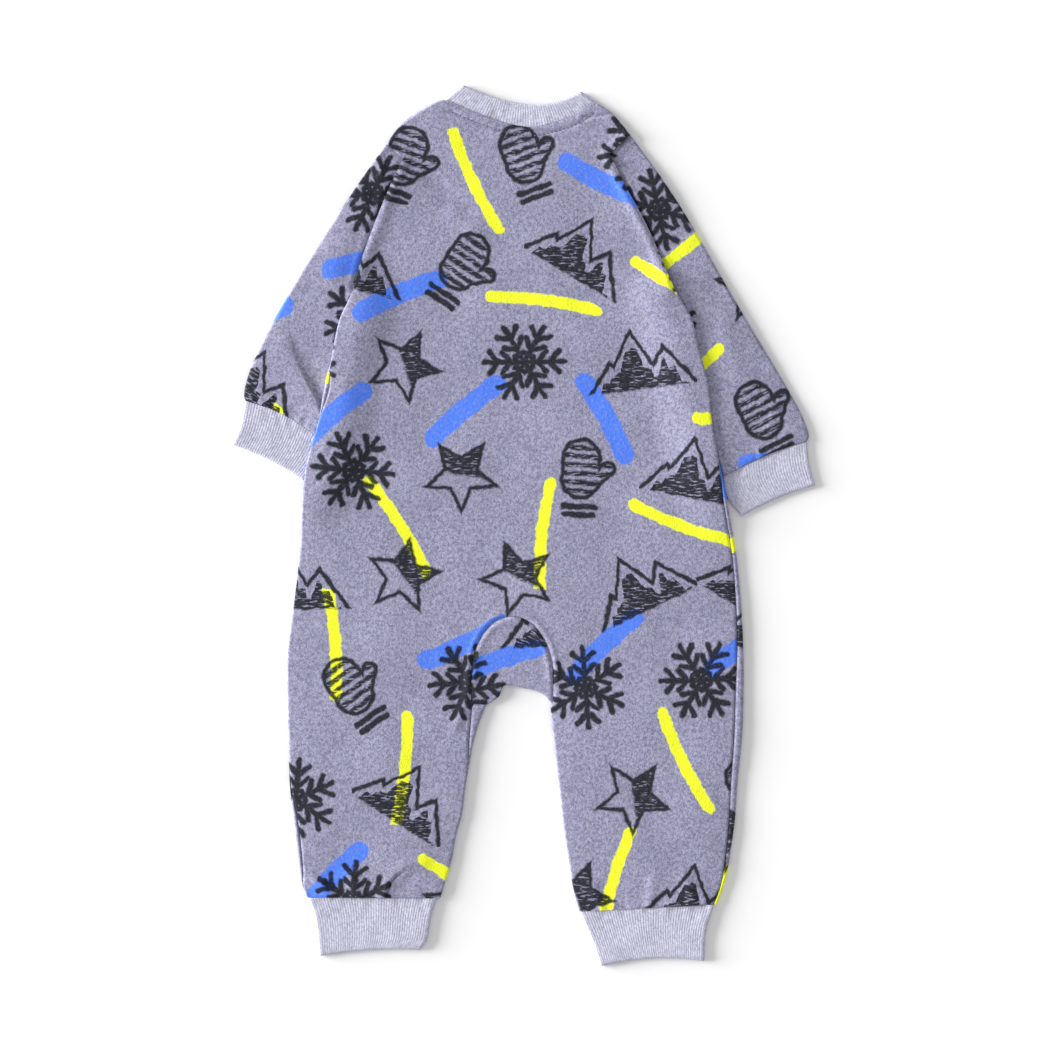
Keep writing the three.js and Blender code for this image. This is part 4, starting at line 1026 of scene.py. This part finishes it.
# a mesh from grids of points: corners shared by neighbouring grids are merged, then it gets its thickness
def makePiece(name, grids, thickness, material, nodes, upward):
    vertices, faces, uvs = [], [], []
    start = 0
    for points, cut in grids:
        rows, columns = points.shape[:2]
        index = start + np.arange(rows * columns).reshape(rows, columns)
        quads = np.stack([index[:-1, :-1], index[:-1, 1:], index[1:, 1:], index[1:, :-1]], -1)
        vertices.append(points.reshape(-1, 3))
        uvs.append(cut.reshape(-1, 2))
        faces.append(quads.reshape(-1, 4))
        start += rows * columns
    vertices = (np.concatenate(vertices) + partShift) * mm
    uvs, faces = turned(np.concatenate(uvs), name) * mm, np.concatenate(faces)
    a, b, c, d = (vertices[faces[:, k]] for k in range(4))
    normals = np.cross(c - a, d - b)
    if upward is None:
        centre = vertices.mean(0)
        facing = np.sum(normals * ((a + c) / 2 - centre) * [0.01, 0.01, 1])
    else:
        facing = normals[:, 2].sum() * upward
    if facing < 0:
        faces = faces[:, ::-1]
    mesh = bpy.data.meshes.new(name)
    mesh.from_pydata(vertices.tolist(), [], faces.tolist())
    layer = mesh.uv_layers.new(name="cut")
    layer.data.foreach_set("uv", uvs[faces.reshape(-1)].reshape(-1))
    work = bmesh.new()
    work.from_mesh(mesh)
    bmesh.ops.remove_doubles(work, verts=work.verts, dist=0.000002)
    bmesh.ops.dissolve_degenerate(work, edges=work.edges, dist=0.000001)
    work.to_mesh(mesh)
    work.free()
    mesh.polygons.foreach_set("use_smooth", [True] * len(mesh.polygons))
    mesh.materials.append(material)
    obj = addObject(name, mesh)
    solid = obj.modifiers.new("thickness", "SOLIDIFY")
    solid.thickness = thickness * mm
    solid.offset = -1
    obj.data = bpy.data.meshes.new_from_object(obj.evaluated_get(bpy.context.evaluated_depsgraph_get()))
    obj.modifiers.clear()
    obj.data.name = name
    bpy.data.meshes.remove(mesh)
    mesh = obj.data
    points = np.empty(len(mesh.vertices) * 3)
    mesh.vertices.foreach_get("co", points)
    points[2::3] = np.maximum(points[2::3], 0)  # nothing goes below the floor
    mesh.vertices.foreach_set("co", points)
    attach(obj, "root")
    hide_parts(*nodes)
    cut = cuts[name]
    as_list(cut["restsOn"])
    corners = uvs[faces]
    diagonals = corners[:, 2] - corners[:, 0], corners[:, 3] - corners[:, 1]
    flatArea = np.abs(np.cross(*diagonals)).sum() / 2
    print(name, len(mesh.polygons), "faces, cut", np.ptp(uvs, axis=0).round(4), "area", flatArea.round(5))
    return obj


# a short rounded stitch for every place along the line, each a thin bead bent into the cloth at its ends
def makeStitches():
    line = stitchLine
    lengths = np.concatenate([[0], np.cumsum(np.linalg.norm(np.diff(line, axis=0), axis=1))])
    places = np.arange(topstitch["pitch"] / 2, lengths[-1], topstitch["pitch"])
    along = np.linspace(-1, 1, topstitch["rings"])
    around = np.linspace(0, 2 * np.pi, topstitch["sides"] + 1)[:-1]
    at = places[:, None] + along[None] * topstitch["stitch"] / 2
    x, y = np.interp(at, lengths, line[:, 0]), np.interp(at, lengths, line[:, 1])
    ahead = unit(np.stack([np.gradient(x, axis=1), np.gradient(y, axis=1)], -1))
    z = bodyPoints(x, y, np.full(x.shape, cloth["bodyHeight"]))[..., 2]
    z = z + topstitch["above"] - topstitch["bend"] * along[None] ** 4
    radius = topstitch["thread"] * np.sqrt(np.clip(1.02 - along ** 2, 0.02, 1))[None, :, None]
    sideways, upwards = radius * np.cos(around), radius * np.sin(around)
    points = place(x[..., None] - ahead[..., 1:] * sideways, y[..., None] + ahead[..., :1] * sideways,
                   z[..., None] + upwards)
    index = np.arange(points[..., 0].size).reshape(points.shape[:3])
    after = np.roll(index, -1, 2)
    quads = np.stack([index[:, :-1], index[:, 1:], after[:, 1:], after[:, :-1]], -1).reshape(-1, 4)
    caps = np.concatenate([index[:, 0], index[:, -1, ::-1]])
    mesh = bpy.data.meshes.new("collarTopstitch")
    vertices = (points.reshape(-1, 3) + partShift) * mm
    mesh.from_pydata(vertices.tolist(), [], quads.tolist() + caps.tolist())
    work = bmesh.new()
    work.from_mesh(mesh)
    bmesh.ops.recalc_face_normals(work, faces=work.faces)
    work.to_mesh(mesh)
    work.free()
    mesh.polygons.foreach_set("use_smooth", [True] * len(mesh.polygons))
    mesh.materials.append(thread)
    obj = addObject("collarTopstitch", mesh)
    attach(obj, "root")
    print("collarTopstitch", len(points), "stitches")


# small words for building a material's sums
class Nodes:
    def __init__(self, name):
        self.material = bpy.data.materials.new(name)
        self.material.use_nodes = True
        self.tree = self.material.node_tree
        self.shader = self.tree.nodes["Principled BSDF"]

    def add(self, kind, **values):
        node = self.tree.nodes.new(kind)
        for key, value in values.items():
            setattr(node, key, value)
        return node

    def put(self, socket, value):
        if isinstance(value, bpy.types.NodeSocket):
            self.tree.links.new(value, socket)
        else:
            socket.default_value = value

    def sum(self, operation, *values, clamp=False):
        node = self.add("ShaderNodeMath", operation=operation, use_clamp=clamp)
        for socket, value in zip(node.inputs, values):
            self.put(socket, value)
        return node.outputs[0]

    def vector(self, operation, *values):
        node = self.add("ShaderNodeVectorMath", operation=operation)
        for socket, value in zip(node.inputs, values):
            self.put(socket, value)
        single = operation in ("LENGTH", "DOT_PRODUCT", "DISTANCE")
        return node.outputs["Value" if single else "Vector"]

    def scaled(self, vector, factor):
        node = self.add("ShaderNodeVectorMath", operation="SCALE")
        self.put(node.inputs[0], vector)
        self.put(node.inputs["Scale"], factor)
        return node.outputs["Vector"]

    def ramp(self, value, low, high, outLow=0.0, outHigh=1.0):
        node = self.add("ShaderNodeMapRange", interpolation_type="SMOOTHSTEP")
        for socket, given in zip(node.inputs, (value, low, high, outLow, outHigh)):
            self.put(socket, given)
        return node.outputs[0]

    def noise(self, vector, scale, detail=2.0, roughness=0.5, stretch=None):
        if stretch:
            vector = self.vector("MULTIPLY", vector, stretch)
        node = self.add("ShaderNodeTexNoise")
        self.put(node.inputs["Vector"], vector)
        node.inputs["Scale"].default_value = scale
        node.inputs["Detail"].default_value = detail
        node.inputs["Roughness"].default_value = roughness
        return node.outputs[0]

    def mix(self, factor, a, b, blend="MIX"):
        node = self.add("ShaderNodeMix", data_type="RGBA", blend_type=blend)
        self.put(node.inputs[0], factor)
        self.put(node.inputs[6], a)
        self.put(node.inputs[7], b)
        return node.outputs[2]

    def parts(self, vector):
        node = self.add("ShaderNodeSeparateXYZ")
        self.put(node.inputs[0], vector)
        return node.outputs

    def combined(self, x, y, z=0.0):
        node = self.add("ShaderNodeCombineXYZ")
        for socket, value in zip(node.inputs, (x, y, z)):
            self.put(socket, value)
        return node.outputs[0]

    # constant values on the shader's own sockets, and a bump from a height
    def finish(self, shaderSockets, bumpSockets, height):
        bump = self.add("ShaderNodeBump")
        for node, values in ((self.shader, shaderSockets), (bump, bumpSockets)):
            for name, value in values.items():
                node.inputs[name].default_value = value
        self.put(bump.inputs["Height"], height)
        self.put(self.shader.inputs["Normal"], bump.outputs[0])
        return self.material


# a colour as a screen shows it, from 0 to 255, in the linear values that a shader takes
def linear(r, g, b):
    srgb = np.array([r, g, b]) / 255
    values = np.where(srgb <= 0.04045, srgb / 12.92, ((srgb + 0.055) / 1.055) ** 2.4)
    return (*values.tolist(), 1)


# one motif to a cell of a staggered lattice, in millimetres from its middle, turned and shifted at random
def scatter(n, uv, cell, seed, turn, jitter):
    width, height = cell
    x, y = n.parts(uv)[:2]
    row = n.sum("FLOOR", n.sum("DIVIDE", y, height))
    shifted = n.sum("ADD", n.sum("DIVIDE", x, width), n.sum("MULTIPLY", n.sum("PINGPONG", row, 1), 0.5))
    column = n.sum("FLOOR", shifted)
    noise = n.add("ShaderNodeTexWhiteNoise", noise_dimensions="3D")
    n.put(noise.inputs["Vector"], n.combined(column, row, float(seed)))
    chance = n.parts(noise.outputs["Color"])
    localX = n.sum("MULTIPLY", n.sum("SUBTRACT", n.sum("SUBTRACT", shifted, column), 0.5), width)
    localY = n.sum("SUBTRACT", n.sum("SUBTRACT", y, n.sum("MULTIPLY", row, height)), height / 2)
    localX = n.sum("ADD", localX, n.ramp(chance[0], 0, 1, -jitter, jitter))
    localY = n.sum("ADD", localY, n.ramp(chance[1], 0, 1, -jitter, jitter))
    rotate = n.add("ShaderNodeVectorRotate", rotation_type="Z_AXIS")
    n.put(rotate.inputs["Vector"], n.combined(localX, localY))
    n.put(rotate.inputs["Angle"], n.sum("MULTIPLY", n.sum("SUBTRACT", chance[2], 0.5), turn))
    return rotate.outputs[0], noise.outputs["Value"]


# distance to a straight stroke between two points
def stroke(n, p, a, b):
    a, b = np.array([*a, 0.0]), np.array([*b, 0.0])
    ahead = b - a
    away = n.vector("SUBTRACT", p, tuple(a))
    t = n.sum("ADD", n.vector("DOT_PRODUCT", away, tuple(ahead / (ahead @ ahead))), 0.0, clamp=True)
    return n.vector("DISTANCE", away, n.scaled(tuple(ahead), t))


def least(n, values):
    best = values[0]
    for value in values[1:]:
        best = n.sum("MINIMUM", best, value)
    return best


# 1 where the distance is below the width, with a soft edge
def below(n, distance, width, soft=0.9):
    return n.ramp(distance, width - soft, width + soft, 1.0, 0.0)


# peaks with snow caps: below the outline max(h1 - s1|x - x1|, h2 - s2|x - x2|), dark flanks are hatched
def mountain(n, p, hatch):
    x, y = n.parts(p)[:2]
    peaks = [n.sum("MULTIPLY_ADD", n.sum("ABSOLUTE", n.sum("ADD", x, -at)), -slope, top)
             for at, slope, top in ((-10, 1.75, 22), (14, 1.35, 8), (-27, 1.3, 0))]
    skyline = n.sum("MAXIMUM", n.sum("MAXIMUM", peaks[0], peaks[1]), peaks[2])
    under = n.sum("SUBTRACT", skyline, y)
    onLand = n.sum("MULTIPLY", n.ramp(y, -23, -21), n.ramp(under, -1.5, 0.5))
    outline = n.sum("MULTIPLY", below(n, n.sum("ABSOLUTE", under), 2.8, 1.4), n.ramp(y, -23, -21))
    zigzag = n.sum("MULTIPLY", n.sum("PINGPONG", n.sum("ADD", x, 60), 4.5), 1.5)
    cap = n.ramp(n.sum("SUBTRACT", under, zigzag), 5.5, 7)
    flank = n.sum("MULTIPLY", n.sum("MULTIPLY", onLand, cap), hatch)
    return n.sum("MAXIMUM", outline, flank)


# a snow crystal: one arm with two pairs of branches, folded six times round
def snowflake(n, p, hatch):
    x, y = n.parts(p)[:2]
    radius = n.vector("LENGTH", p)
    turn = n.sum("DIVIDE", n.sum("ARCTAN2", y, x), np.pi / 3)
    folded = n.sum("MULTIPLY", n.sum("SUBTRACT", turn, n.sum("ROUND", turn)), np.pi / 3)
    q = n.combined(n.sum("MULTIPLY", radius, n.sum("COSINE", folded)),
                   n.sum("MULTIPLY", radius, n.sum("ABSOLUTE", n.sum("SINE", folded))))
    ends = [((0, 0), (30, 0)), ((10, 0), (16.5, 7.5)), ((19, 0), (26, 8))]
    lines = [stroke(n, q, a, b) for a, b in ends]
    hexagon = n.sum("ABSOLUTE", n.sum("SUBTRACT", n.parts(q)[0], 6.5))
    return below(n, least(n, [*lines, hexagon]), 2.2, 0.9)


# a mitten: hand and thumb as round-ended strokes with a pale stripe, and a cuff in two dark bars
def mitten(n, p, hatch):
    hand = n.sum("SUBTRACT", stroke(n, p, (0, -6), (0, 10)), 15)
    thumb = n.sum("SUBTRACT", stroke(n, p, (8, -8), (20, 3)), 6)
    body = n.sum("MINIMUM", hand, thumb)
    y = n.parts(p)[1]
    wave = n.sum("PINGPONG", n.sum("ADD", y, 60), 6.5)
    stripe = below(n, n.sum("ABSOLUTE", n.sum("SUBTRACT", wave, 3.2)), 1.3)
    rim = below(n, n.sum("ABSOLUTE", n.sum("ADD", body, 1.2)), 1.7)
    fill = n.sum("MULTIPLY", n.sum("MULTIPLY", below(n, body, 0), hatch), n.sum("SUBTRACT", 1.0, stripe))
    cuffs = least(n, [stroke(n, p, (-12, -26), (12, -26)), stroke(n, p, (-11, -32), (11, -32))])
    return n.sum("MAXIMUM", n.sum("MAXIMUM", rim, fill), below(n, cuffs, 2.3))


# a five-pointed star with a hatched half, folded five times round
def star(n, p, hatch):
    x, y = n.parts(p)[:2]
    radius = n.vector("LENGTH", p)
    fifth = 2 * np.pi / 5
    turn = n.sum("DIVIDE", n.sum("ARCTAN2", x, y), fifth)
    folded = n.sum("MULTIPLY", n.sum("ABSOLUTE", n.sum("SUBTRACT", turn, n.sum("ROUND", turn))), fifth)
    qx = n.sum("MULTIPLY", radius, n.sum("COSINE", folded))
    qy = n.sum("MULTIPLY", radius, n.sum("SINE", folded))
    tip, notch = np.array([27.0, 0.0]), 12.5 * np.array([np.cos(np.pi / 5), np.sin(np.pi / 5)])
    ahead = (notch - tip) / np.linalg.norm(notch - tip)
    outward = (-ahead[1], ahead[0])
    awayX = n.sum("MULTIPLY", n.sum("ADD", qx, -tip[0]), -outward[0])
    away = n.sum("ADD", awayX, n.sum("MULTIPLY", qy, -outward[1]))
    rim = below(n, n.sum("ABSOLUTE", away), 1.5)
    hatchedHalf = n.sum("MULTIPLY", hatch, n.ramp(n.sum("ADD", x, y), -2, 2))
    fill = n.sum("MULTIPLY", n.ramp(away, 0.5, -0.8), hatchedHalf)
    return n.sum("MAXIMUM", rim, fill)


# a bar with round ends, bent a little, laid down with a dry brush
def brushBar(n, p, halfLength, halfWidth, warp):
    x, y = n.parts(p)[:2]
    along = n.sum("MAXIMUM", n.sum("ADD", n.sum("ABSOLUTE", x), halfWidth - halfLength), 0.0)
    bend = n.sum("ADD", y, n.sum("MULTIPLY", n.sum("MULTIPLY", x, x), bars["bend"]))
    distance = n.vector("LENGTH", n.combined(along, n.sum("ADD", bend, warp)))
    return below(n, distance, halfWidth, 0.7)


fleeceColours = {
    "base": linear(146, 146, 174),
    "light": linear(192, 192, 220),
    "dark": linear(101, 101, 128),
    "warm": linear(160, 150, 170),
    "ink": linear(17, 22, 28),
    "yellow": linear(246, 255, 42),
    "blue": linear(74, 128, 250),
}
fleeceFinish = {"Roughness": 0.95, "Sheen Weight": 0.1, "Sheen Roughness": 0.6, "Specular IOR Level": 0.15}
fleeceBump = {"Strength": 0.44, "Distance": 0.0006}
# how far the even ground, the warm tint, the dark clouds and the ink take over; wobble in millimetres
fleeceShares = {"even": 0.42, "warm": 0.35, "cloud": 0.12, "ink": 0.97, "wobble": 4.2}

# how the motifs and the bars are strewn: cell in millimetres, seed, largest turn in radians, shift
strewn = {
    "motifs": {"cell": (86, 80), "seed": 3, "turn": 1.3, "jitter": 5},
    "bars": {"cell": (104, 88), "seed": 11, "turn": 6.28, "jitter": 4},
}
barsOffset = (41, 47, 0)
bars = {
    "yellow": {"halfLength": 44, "halfWidth": 4.4},
    "blue": {"halfLength": 38, "halfWidth": 7.2},
    "bend": 0.0016,
    "fringe": 1.4,
}


# the ink: each cell of the lattice takes one of four motifs at random
def inkMask(n, uv, wobble, hatch):
    p, chance = scatter(n, n.vector("ADD", uv, wobble), **strewn["motifs"])
    motifs = [mountain, snowflake, mitten, star]
    masks = [motif(n, p, hatch) for motif in motifs]
    total = None
    for k, mask in enumerate(masks):
        low, high = k / len(masks), (k + 1) / len(masks)
        chosen = n.sum("COMPARE", chance, (low + high) / 2, 0.5 / len(masks))
        part = n.sum("MULTIPLY", mask, chosen)
        total = part if total is None else n.sum("ADD", total, part)
    return total


# yellow bars are slim and blue ones wide; the brush's streaks show in the blue
def barMasks(n, uv, wobble, streaks):
    p, chance = scatter(n, n.vector("ADD", n.vector("ADD", uv, barsOffset), wobble), **strewn["bars"])
    edge = n.sum("MULTIPLY", n.sum("SUBTRACT", streaks, 0.5), bars["fringe"])
    slim = brushBar(n, p, **bars["yellow"], warp=edge)
    wide = brushBar(n, p, **bars["blue"], warp=edge)
    wide = n.sum("MULTIPLY", wide, n.ramp(streaks, 0.28, 0.6, 0.6, 1.0))
    yellow = n.sum("MULTIPLY", slim, n.sum("LESS_THAN", chance, 0.5))
    blue = n.sum("MULTIPLY", wide, n.sum("GREATER_THAN", chance, 0.5))
    return yellow, blue


# brushed fleece: heathered fibres, then the print, whose edges wobble as a hand's do
def makeFleece():
    n = Nodes("fleece")
    coordinate = n.add("ShaderNodeTexCoord").outputs["Object"]
    cut = n.add("ShaderNodeUVMap", uv_map="cut").outputs[0]
    uv = n.scaled(cut, 1000.0)
    fine = n.noise(coordinate, 900, 2, 0.6)
    medium = n.noise(coordinate, 380, 3, 0.65)
    broad = n.noise(coordinate, 26, 2)
    tint = n.noise(coordinate, 210, 3, 0.6)
    fibres = n.sum("ADD", n.sum("MULTIPLY", fine, 0.5), n.sum("MULTIPLY", medium, 0.5))
    heather = n.ramp(fibres, 0.38, 0.62)
    base = n.mix(heather, fleeceColours["dark"], fleeceColours["light"])
    base = n.mix(fleeceShares["even"], base, fleeceColours["base"])
    base = n.mix(n.ramp(tint, 0.46, 0.62, 0.0, fleeceShares["warm"]), base, fleeceColours["warm"])
    base = n.mix(n.ramp(broad, 0.35, 0.65, 0.0, fleeceShares["cloud"]), base, fleeceColours["dark"])
    warpNode = n.add("ShaderNodeTexNoise")
    n.put(warpNode.inputs["Vector"], cut)
    warpNode.inputs["Scale"].default_value = 160
    warpNode.inputs["Detail"].default_value = 3
    wobble = n.vector("SUBTRACT", warpNode.outputs["Color"], (0.5, 0.5, 0.5))
    wobble = n.vector("MULTIPLY", n.scaled(wobble, fleeceShares["wobble"]), (1, 1, 0))
    scribble = n.noise(cut, 150, 2, 0.6, (1, 4.5, 1))
    hatch = n.ramp(scribble, 0.34, 0.47, 0.1, 1.0)
    streaks = n.noise(cut, 420, 2, 0.6, (1, 1, 1))
    yellow, blue = barMasks(n, uv, wobble, streaks)
    ink = inkMask(n, uv, wobble, hatch)
    taken = n.ramp(fibres, 0.34, 0.5, 0.8, 1.0)  # how much colour the raised fibres took up
    colour = n.mix(n.sum("MULTIPLY", yellow, taken), base, fleeceColours["yellow"])
    colour = n.mix(n.sum("MULTIPLY", blue, taken), colour, fleeceColours["blue"])
    inked = n.sum("MULTIPLY", n.sum("MULTIPLY", ink, taken), fleeceShares["ink"])
    colour = n.mix(inked, colour, fleeceColours["ink"])
    n.put(n.shader.inputs["Base Color"], colour)
    height = n.sum("ADD", fine, n.sum("MULTIPLY", medium, 1.2))
    return n.finish(fleeceFinish, fleeceBump, height)


ribColours = {
    "base": linear(193, 194, 214),
    "light": linear(224, 225, 240),
    "dark": linear(143, 143, 166),
}
ribFinish = {"Roughness": 0.9, "Sheen Weight": 0.15, "Specular IOR Level": 0.15}
ribBump = {"Strength": 0.36, "Distance": 0.0004}
# groove: how far painted shade darkens the knit in the groove between two ribs
ribShares = {"even": 0.52, "groove": 0.12, "stitchRow": 1.5}  # a row of stitches in millimetres


# rib knit: painted shade in the groove between each two ribs, V-shaped rows of stitches and a fine heather
def makeRib():
    n = Nodes("ribKnit")
    coordinate = n.add("ShaderNodeTexCoord").outputs["Object"]
    cut = n.add("ShaderNodeUVMap", uv_map="cut").outputs[0]
    x, y = n.parts(n.scaled(cut, 1000.0))[:2]
    wave = n.sum("COSINE", n.sum("MULTIPLY", x, 2 * np.pi / rib["pitch"]))
    # painted shade: 1 where the ribs' relief dips into a groove, 0 on their crests
    groove = n.ramp(wave, 0.35, 1.0)
    slanted = n.sum("ADD", y, n.sum("ABSOLUTE", wave))
    rows = n.sum("COSINE", n.sum("MULTIPLY", slanted, 2 * np.pi / ribShares["stitchRow"]))
    fine = n.noise(coordinate, 900, 2)
    flecks = n.noise(cut, 520, 2, 0.6, (1.2, 0.55, 1))
    fibres = n.sum("ADD", n.sum("MULTIPLY", fine, 0.45), n.sum("MULTIPLY", flecks, 0.55))
    heather = n.ramp(fibres, 0.36, 0.64)
    colour = n.mix(heather, ribColours["dark"], ribColours["light"])
    colour = n.mix(ribShares["even"], colour, ribColours["base"])
    # painted shade along the rib grooves, mixed towards the dark colour
    colour = n.mix(n.sum("MULTIPLY", groove, ribShares["groove"]), colour, ribColours["dark"])
    n.put(n.shader.inputs["Base Color"], colour)
    height = n.sum("ADD", n.sum("MULTIPLY", rows, 0.25), n.sum("ADD", fine, n.sum("MULTIPLY", wave, -0.3)))
    return n.finish(ribFinish, ribBump, height)


threadColours = {"light": linear(114, 114, 136), "dark": linear(78, 78, 98)}
threadFinish = {"Roughness": 0.7, "Sheen Weight": 0.2}
threadBump = {"Strength": 0.4, "Distance": 0.0002}


def makeThread():
    n = Nodes("thread")
    coordinate = n.add("ShaderNodeTexCoord").outputs["Object"]
    ply = n.noise(coordinate, 2600, 1)
    colour = n.mix(n.ramp(ply, 0.4, 0.6), threadColours["dark"], threadColours["light"])
    n.put(n.shader.inputs["Base Color"], colour)
    return n.finish(threadFinish, threadBump, ply)


fleece = makeFleece()
ribKnit = makeRib()
thread = makeThread()
print("materials made")


def makeFleecePiece(name, grids, node, upward):
    makePiece(name, grids, cloth["thickness"], fleece, [node], upward)


def makeRibPiece(name, grids, node):
    makePiece(name, grids, rib["thickness"], ribKnit, [node], None)


makeFleecePiece("backPanel", backGrids(), "back_panel", 1)
makeFleecePiece("gusset", gussetGrids(), "crotch_gusset", 1)
for side, pieceSide in (("left", "Left"), ("right", "Right")):
    makeFleecePiece(f"front{pieceSide}", frontGrids(side), f"front_{side}", -1)
    makeFleecePiece(f"sleeve{pieceSide}", sleeveGrids(side), f"sleeve_{side}", None)
for name in bands:
    band, side = name.split("_")
    makeRibPiece(band + side.capitalize(), bandGrids(name), name)
makeRibPiece("collar", collarGrids(), "collar_rib")
makeStitches()

# studio: a plain pale floor, one broad soft light low on the left and an even sky
studio = {
    "floor": linear(250, 250, 251),
    "halfWidth": 40.0,
    "sky": 0.56,
    "key": 9.3,
    "elevation": 9.5,
    "azimuth": 168,
    "spread": 34,
}


def makeStudio():
    mesh = bpy.data.meshes.new("floor")
    half = studio["halfWidth"]
    corners = [(-half, -half, 0), (half, -half, 0), (half, half, 0), (-half, half, 0)]
    mesh.from_pydata(corners, [], [(0, 1, 2, 3)])
    n = Nodes("floorPaper")
    n.shader.inputs["Base Color"].default_value = studio["floor"]
    n.shader.inputs["Roughness"].default_value = 0.8
    mesh.materials.append(n.material)
    addObject("floor", mesh)
    light = bpy.data.lights.new("key", "SUN")
    light.energy = studio["key"]
    light.angle = np.radians(studio["spread"])
    obj = addObject("key", light)
    obj.rotation_euler = (0, np.radians(90 - studio["elevation"]), np.radians(studio["azimuth"]))
    world = bpy.data.worlds.new("sky")
    world.use_nodes = True
    background = world.node_tree.nodes["Background"]
    background.inputs["Color"].default_value = (1, 1, 1, 1)
    background.inputs["Strength"].default_value = studio["sky"]
    bpy.context.scene.world = world
    bpy.context.scene.view_settings.view_transform = "Standard"


makeStudio()
print("studio made")
